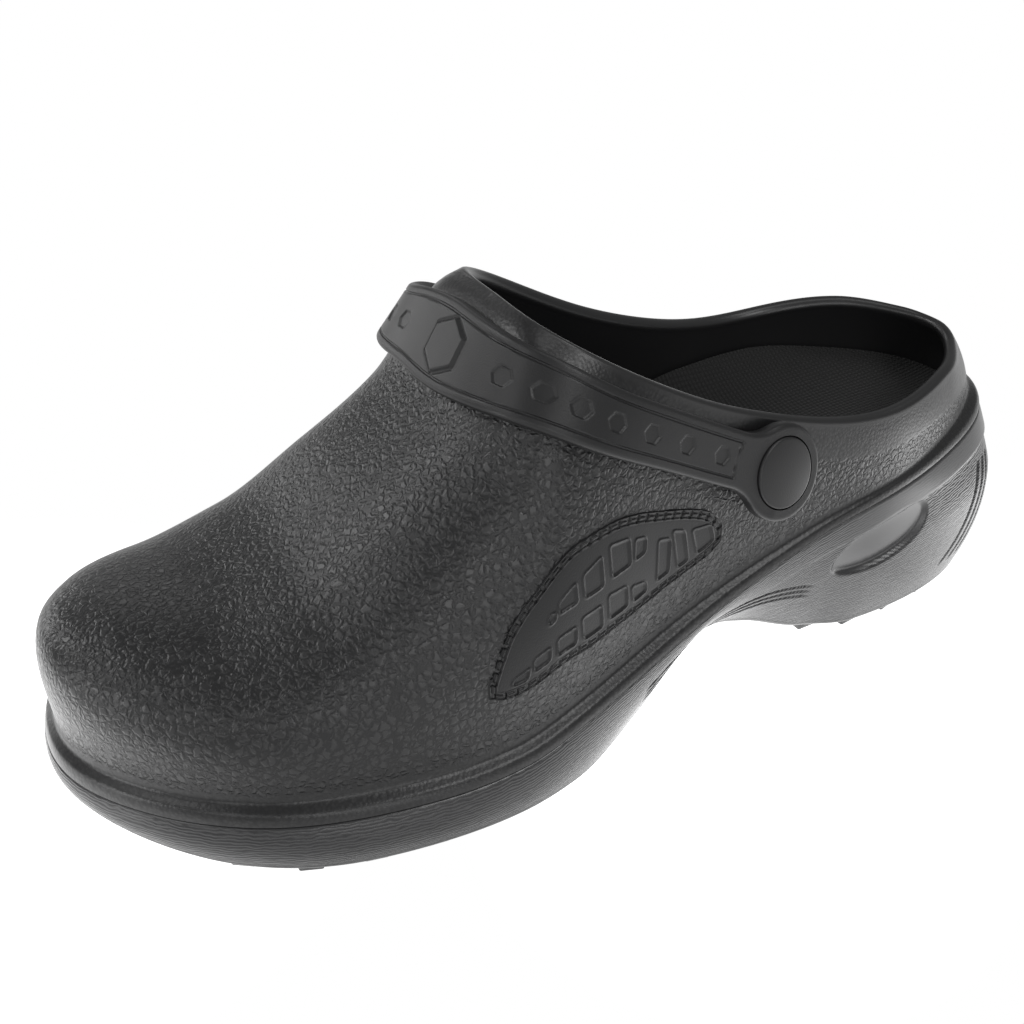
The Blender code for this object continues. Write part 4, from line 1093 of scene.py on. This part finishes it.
def makeCap(name, d):              # inner cap with a hole for the shank
    s = rivetSet
    piece = roundBar(name, s["capRadius"], capFace() - s["capThick"], capFace())
    pickFaces(piece, lambda face: face.normal.z < -0.9)
    bpy.ops.mesh.bevel(offset=s["capRound"] / 1000, segments=s["roundParts"], affect="EDGES")
    pickFaces(piece, lambda face: face.normal.z > 0.9)
    bpy.ops.mesh.inset(thickness=(s["capRadius"] - s["shankRadius"] - s["seatGap"]) / 1000)
    bpy.ops.mesh.extrude_region_move(TRANSFORM_OT_translate={"value": (0, 0, -s["capHole"] / 1000)})
    return finishRivet(piece, d)


strap = makeStrap()
cutSeats(strap)
dress(strap, "strap", dottedMaterial("smoothFoam", strapSet, strapSet["dots"]))
rivetFinish = dottedMaterial("rivetPlastic", rivetSet, rivetSet["dots"])
for sideName, d in zip(("Lateral", "Medial"), strapEnds):
    dress(makeButton("button" + sideName, d), "button_" + sideName.lower(), rivetFinish)
    dress(makeCap("cap" + sideName, d), "cap_" + sideName.lower(), rivetFinish)
print("strap and rivets made")


# The side panels: a smooth leaf in a stitched track, with engraved cells.
panelSet = {
    "rows": ((0.675, 13.4, 15.6), (0.668, 12.2, 19.5), (0.654, 11.2, 24.5), (0.636, 10.4, 26.6),
             (0.610, 9.5, 27.0), (0.576, 8.4, 26.4), (0.548, 7.9, 25.4), (0.520, 7.4, 23.2),
             (0.491, 7.2, 20.2), (0.461, 7.1, 17.3), (0.434, 7.2, 14.0), (0.420, 8.0, 10.6)),
    "cells": (                     # from, to, low, top at from, top at to, lean; in mm from the lower edge
        (15.8, 18.4, 12.8, 15.6, 15.4, 0.0), (19.2, 25.2, 13.8, 17.0, 19.8, -0.1),
        (27.3, 33.8, 13.7, 20.5, 22.6, -0.1), (36.4, 43.3, 14.2, 23.8, 22.0, -0.1),
        (44.4, 48.5, 14.4, 20.6, 18.8, 0.0), (5.0, 9.8, 1.9, 3.9, 5.2, 0.2),
        (11.3, 16.6, 2.9, 6.6, 6.9, 0.0), (18.5, 24.9, 2.4, 7.5, 7.5, 0.0),
        (27.0, 33.8, 2.1, 8.9, 9.0, -0.1), (35.8, 42.6, 2.7, 10.2, 9.1, -0.08),
        (44.3, 49.5, 2.6, 7.8, 5.9, -0.15), (52.9, 57.6, 3.0, 15.2, 12.9, 0.0),
        (60.6, 64.6, 2.1, 14.8, 12.2, -0.2), (67.6, 74.0, 2.0, 10.8, 8.2, -0.28),
    ),
    "edgePoints": 800, "columns": 300, "shares": 110, "outlineStep": 0.2, "margin": 2.1,
    "up": 0.4, "sunk": 0.3, "back": 1.0, "leafSoft": 0.6,
    "trackHalf": 1.0, "trackUp": 0.2, "trackSoft": (0.8, 0.1), "beadUp": 0.28, "beadSoft": (0.05, 0.4),
    "stitchPitch": 3.2, "stitchGap": 0.9, "stitchSoft": 0.2,
    "dashUp": 0.3, "dashHalf": 0.5, "dashFlat": 0.15, "pinchDeep": 0.5, "pinchSoft": (0.3, 0.15),
    "cellRound": 1.1, "cellDeep": 0.22, "cellSoft": 0.35, "lineHalf": 0.42, "lineUp": 0.24, "lineFlat": 0.08,
    "colour": upperSet["colour"], "roughLow": 0.30, "roughHigh": 0.38, "specular": 0.3,
    "dots": (2200.0, 0.03),
}


def panelSheet(side):              # columns along the lower edge and rows up the wall
    s = panelSet
    rows = columnsOf("t low high", s["rows"])
    spot = np.linspace(0, len(s["rows"]) - 1, s["edgePoints"])
    t = np.interp(spot, np.arange(len(s["rows"])), rows["t"])
    low, high = (np.radians(steadyCurve(-rows["t"], rows[name])(-t)) for name in ("low", "high"))
    if side > 0:
        t = t + strapSet["medialAhead"]
    u = side * angleAt(t)
    run = runLength(wallSkin(u, low))
    x = np.linspace(-s["margin"], run[-1] + s["margin"], s["columns"])
    before = x * (u[1] - u[0]) / run[1]
    after = (x - run[-1]) * (u[-1] - u[-2]) / (run[-1] - run[-2])
    past = np.where(x < 0, before, np.where(x > run[-1], after, 0))
    u, low, high = np.interp(x, run, u) + past, np.interp(x, run, low), np.interp(x, run, high)
    degree = np.radians(1.0)
    perMm = degree / np.linalg.norm(wallSkin(u, low + degree) - wallSkin(u, low), axis=1)
    climb = np.linspace(0, 1, s["shares"])[:, None]
    phi = low - s["margin"] * perMm + (high - low + 2 * s["margin"] * perMm) * climb
    return x, run[-1], u, low, high, phi


def cellEdge(x, y, fromX, toX, lowY, topLeft, topRight, lean):     # signed distance to a rounded cell
    x = x - lean * (y - lowY)
    slope = (topRight - topLeft) / (toX - fromX)
    sides = [fromX - x, x - toX, lowY - y, (y - topLeft - slope * (x - fromX)) / np.hypot(1, slope)]
    r = panelSet["cellRound"]
    left, right, low, high = (np.maximum(side + r, 0) for side in sides)
    out = np.hypot(np.maximum(left, right), np.maximum(low, high)) - r
    return np.where(out > -r, out, np.max(sides, axis=0))


def panelRelief(x, y, d, beat, pitch):     # d from the outline, beat from the middle of a stitch
    s = panelSet
    half, stitch, soft = s["trackHalf"], (pitch - s["stitchGap"]) / 2, s["stitchSoft"]
    dash = 1 - smoothStep(beat, stitch - soft, stitch + soft)
    outer, inner = s["trackSoft"]
    h = -s["sunk"] + (s["trackUp"] + s["sunk"]) * smoothStep(d, -half - outer, -half - inner)
    h += (s["up"] - s["trackUp"]) * smoothStep(d, half, half + s["leafSoft"])
    h += s["beadUp"] * (1 - smoothStep(np.abs(np.abs(d) - half), *s["beadSoft"]))
    h += s["dashUp"] * dash * (1 - smoothStep(np.abs(d), s["dashFlat"], s["dashHalf"]))
    inner, outer = s["pinchSoft"]
    h -= s["pinchDeep"] * (1 - dash) * (1 - smoothStep(np.abs(d), half - inner, half + outer))
    line = s["lineHalf"]
    for cell in s["cells"]:
        out = cellEdge(x, y, *cell)
        h += s["lineUp"] * (1 - smoothStep(np.abs(out), s["lineFlat"], line))
        h -= s["cellDeep"] * (1 - smoothStep(out, -line - s["cellSoft"], -line))
    return h


def makePanel(side):
    s = panelSet
    x, length, u, low, high, phi = panelSheet(side)
    step = np.linalg.norm(np.diff(wallSkin(u, phi), axis=0), axis=2)
    y = np.concatenate([np.zeros((1, len(x))), np.cumsum(step, axis=0)])
    y -= np.array([np.interp(low[i], phi[:, i], y[:, i]) for i in range(len(x))])
    top = np.array([np.interp(high[i], phi[:, i], y[:, i]) for i in range(len(x))])
    wide = np.broadcast_to(x, y.shape)
    on = (x >= 0) & (x <= length)
    flat = np.concatenate([np.stack([x[on], 0 * x[on]], 1), np.stack([x[on], top[on]], 1)[::-1]])
    solid = np.concatenate([wallSkin(u, low)[on], wallSkin(u, high)[on][::-1]])
    flat, solid = (np.concatenate([loop, loop[:1]]) for loop in (flat, solid))
    far = runLength(solid)
    even = np.linspace(0, far[-1], int(far[-1] / s["outlineStep"]))
    outline = np.stack([np.interp(even, far, flat[:, k]) for k in (0, 1)], 1)
    gap, where = edgeDistance(wide, y, outline)
    inside = (wide >= 0) & (wide <= length) & (y > 0) & (y < top)
    pitch = far[-1] / round(far[-1] / s["stitchPitch"])
    beat = np.abs((even[where] / pitch) % 1 - 0.5) * pitch
    front = wallSkin(u, phi, -panelRelief(wide, y, np.where(inside, gap, -gap), beat, pitch))
    back = [wallSkin(u, phi[k], s["back"]) for k in (-1, 0)]
    points = np.concatenate([front, np.array(back), front[:1]])
    tips = np.broadcast_to(points.mean(0)[None, [0, -1]], (len(points), 2, 3))
    points = np.concatenate([tips[:, :1], points, tips[:, 1:]], 1)
    return gridPiece("panelLateral" if side < 0 else "panelMedial", points, angle=50)


panelFinish = dottedMaterial("panelFoam", panelSet, panelSet["dots"])
for side in (-1, 1):
    dress(makePanel(side), "upper", panelFinish)
print("panels made")


# Light and floor.
stageSet = {
    "floorSize": 14.0, "floorGlow": 1.0, "worldStrength": 0.25,
    "lampSize": 0.6, "lampFar": 1.6, "aim": (0.0, 0.0, 0.05),
    "paintedLightPools": (                     # x, y, radius and peak of a painted pool of light on the floor, which glows brighter there
        (0.0, 0.035, 0.1, 5.0), (0.19, -0.05, 0.08, 3.4), (0.215, -0.1, 0.05, 3.0), (0.09, -0.05, 0.07, 1.1),
        (-0.17, 0.04, 0.12, 2.0), (0.005, -0.075, 0.07, 1.2), (-0.05, -0.21, 0.08, 0.8),
    ),
    "lamps": (                     # name, azimuth, elevation, watts
        ("toeLow", 180, 8, 4.5), ("farLow", 118, 8, 2.5), ("nearLow", 270, 8, 2.0),
        ("farMiddle", 85, 30, 1.2), ("farLeft", 138, 36, 4.4), ("nearLeft", 216, 24, 2.0),
        ("nearMiddle", 252, 22, 2.7), ("highLeft", 178, 42, 2.4), ("key", 292, 44, 6.0),
        ("heelHigh", 342, 64, 3.0), ("top", 0, 88, 1.4),
    ),
}


def floorMaterial():
    s = stageSet
    material = bpy.data.materials.new("floorWhite")
    material.use_nodes = True
    tree = material.node_tree
    shader = tree.nodes["Principled BSDF"]
    shader.inputs["Base Color"].default_value = (0, 0, 0, 1)
    shader.inputs["Specular IOR Level"].default_value = 0
    shader.inputs["Emission Color"].default_value = (1, 1, 1, 1)
    place = objectPlace(tree)
    total = s["floorGlow"]
    # painted pools of light: brighter glowing spots added to the floor's even glow
    for x, y, radius, peak in s["paintedLightPools"]:
        far = addNode(tree, "ShaderNodeVectorMath", operation="DISTANCE", in_0=place, in_1=(x, y, 0))
        share = mathNode(tree, "SUBTRACT", 1.0, mathNode(tree, "DIVIDE", far.outputs["Value"], radius))
        part = mathNode(tree, "MULTIPLY", mathNode(tree, "MAXIMUM", share, 0.0), peak)
        total = mathNode(tree, "ADD", part, total)
    tree.links.new(total, shader.inputs["Emission Strength"])
    return material


def makeStage():
    s = stageSet
    deselectAll()
    bpy.ops.mesh.primitive_plane_add(size=s["floorSize"], location=(0, 0, 0))
    floor = bpy.context.object
    floor.name = floor.data.name = "studioFloor"
    floor.data.materials.append(floorMaterial())
    aim = Vector(s["aim"])
    for name, azimuth, elevation, watts in s["lamps"]:
        a, e = math.radians(azimuth), math.radians(elevation)
        toLamp = Vector((math.cos(e) * math.cos(a), math.cos(e) * math.sin(a), math.sin(e)))
        bpy.ops.object.light_add(type="AREA", location=aim + toLamp * s["lampFar"])
        lamp = bpy.context.object
        lamp.name = lamp.data.name = name + "Lamp"
        lamp.rotation_euler = (-toLamp).to_track_quat("-Z", "Y").to_euler()
        lamp.data.shape, lamp.data.size, lamp.data.energy = "DISK", s["lampSize"], watts
    world = bpy.data.worlds.new("studioWorld")
    world.use_nodes = True
    sky = world.node_tree.nodes["Background"]
    sky.inputs["Strength"].default_value = s["worldStrength"]
    sky.inputs["Color"].default_value = (1, 1, 1, 1)
    bpy.context.scene.world = world
    bpy.context.scene.view_settings.view_transform = "Standard"


makeStage()
print("stage set")
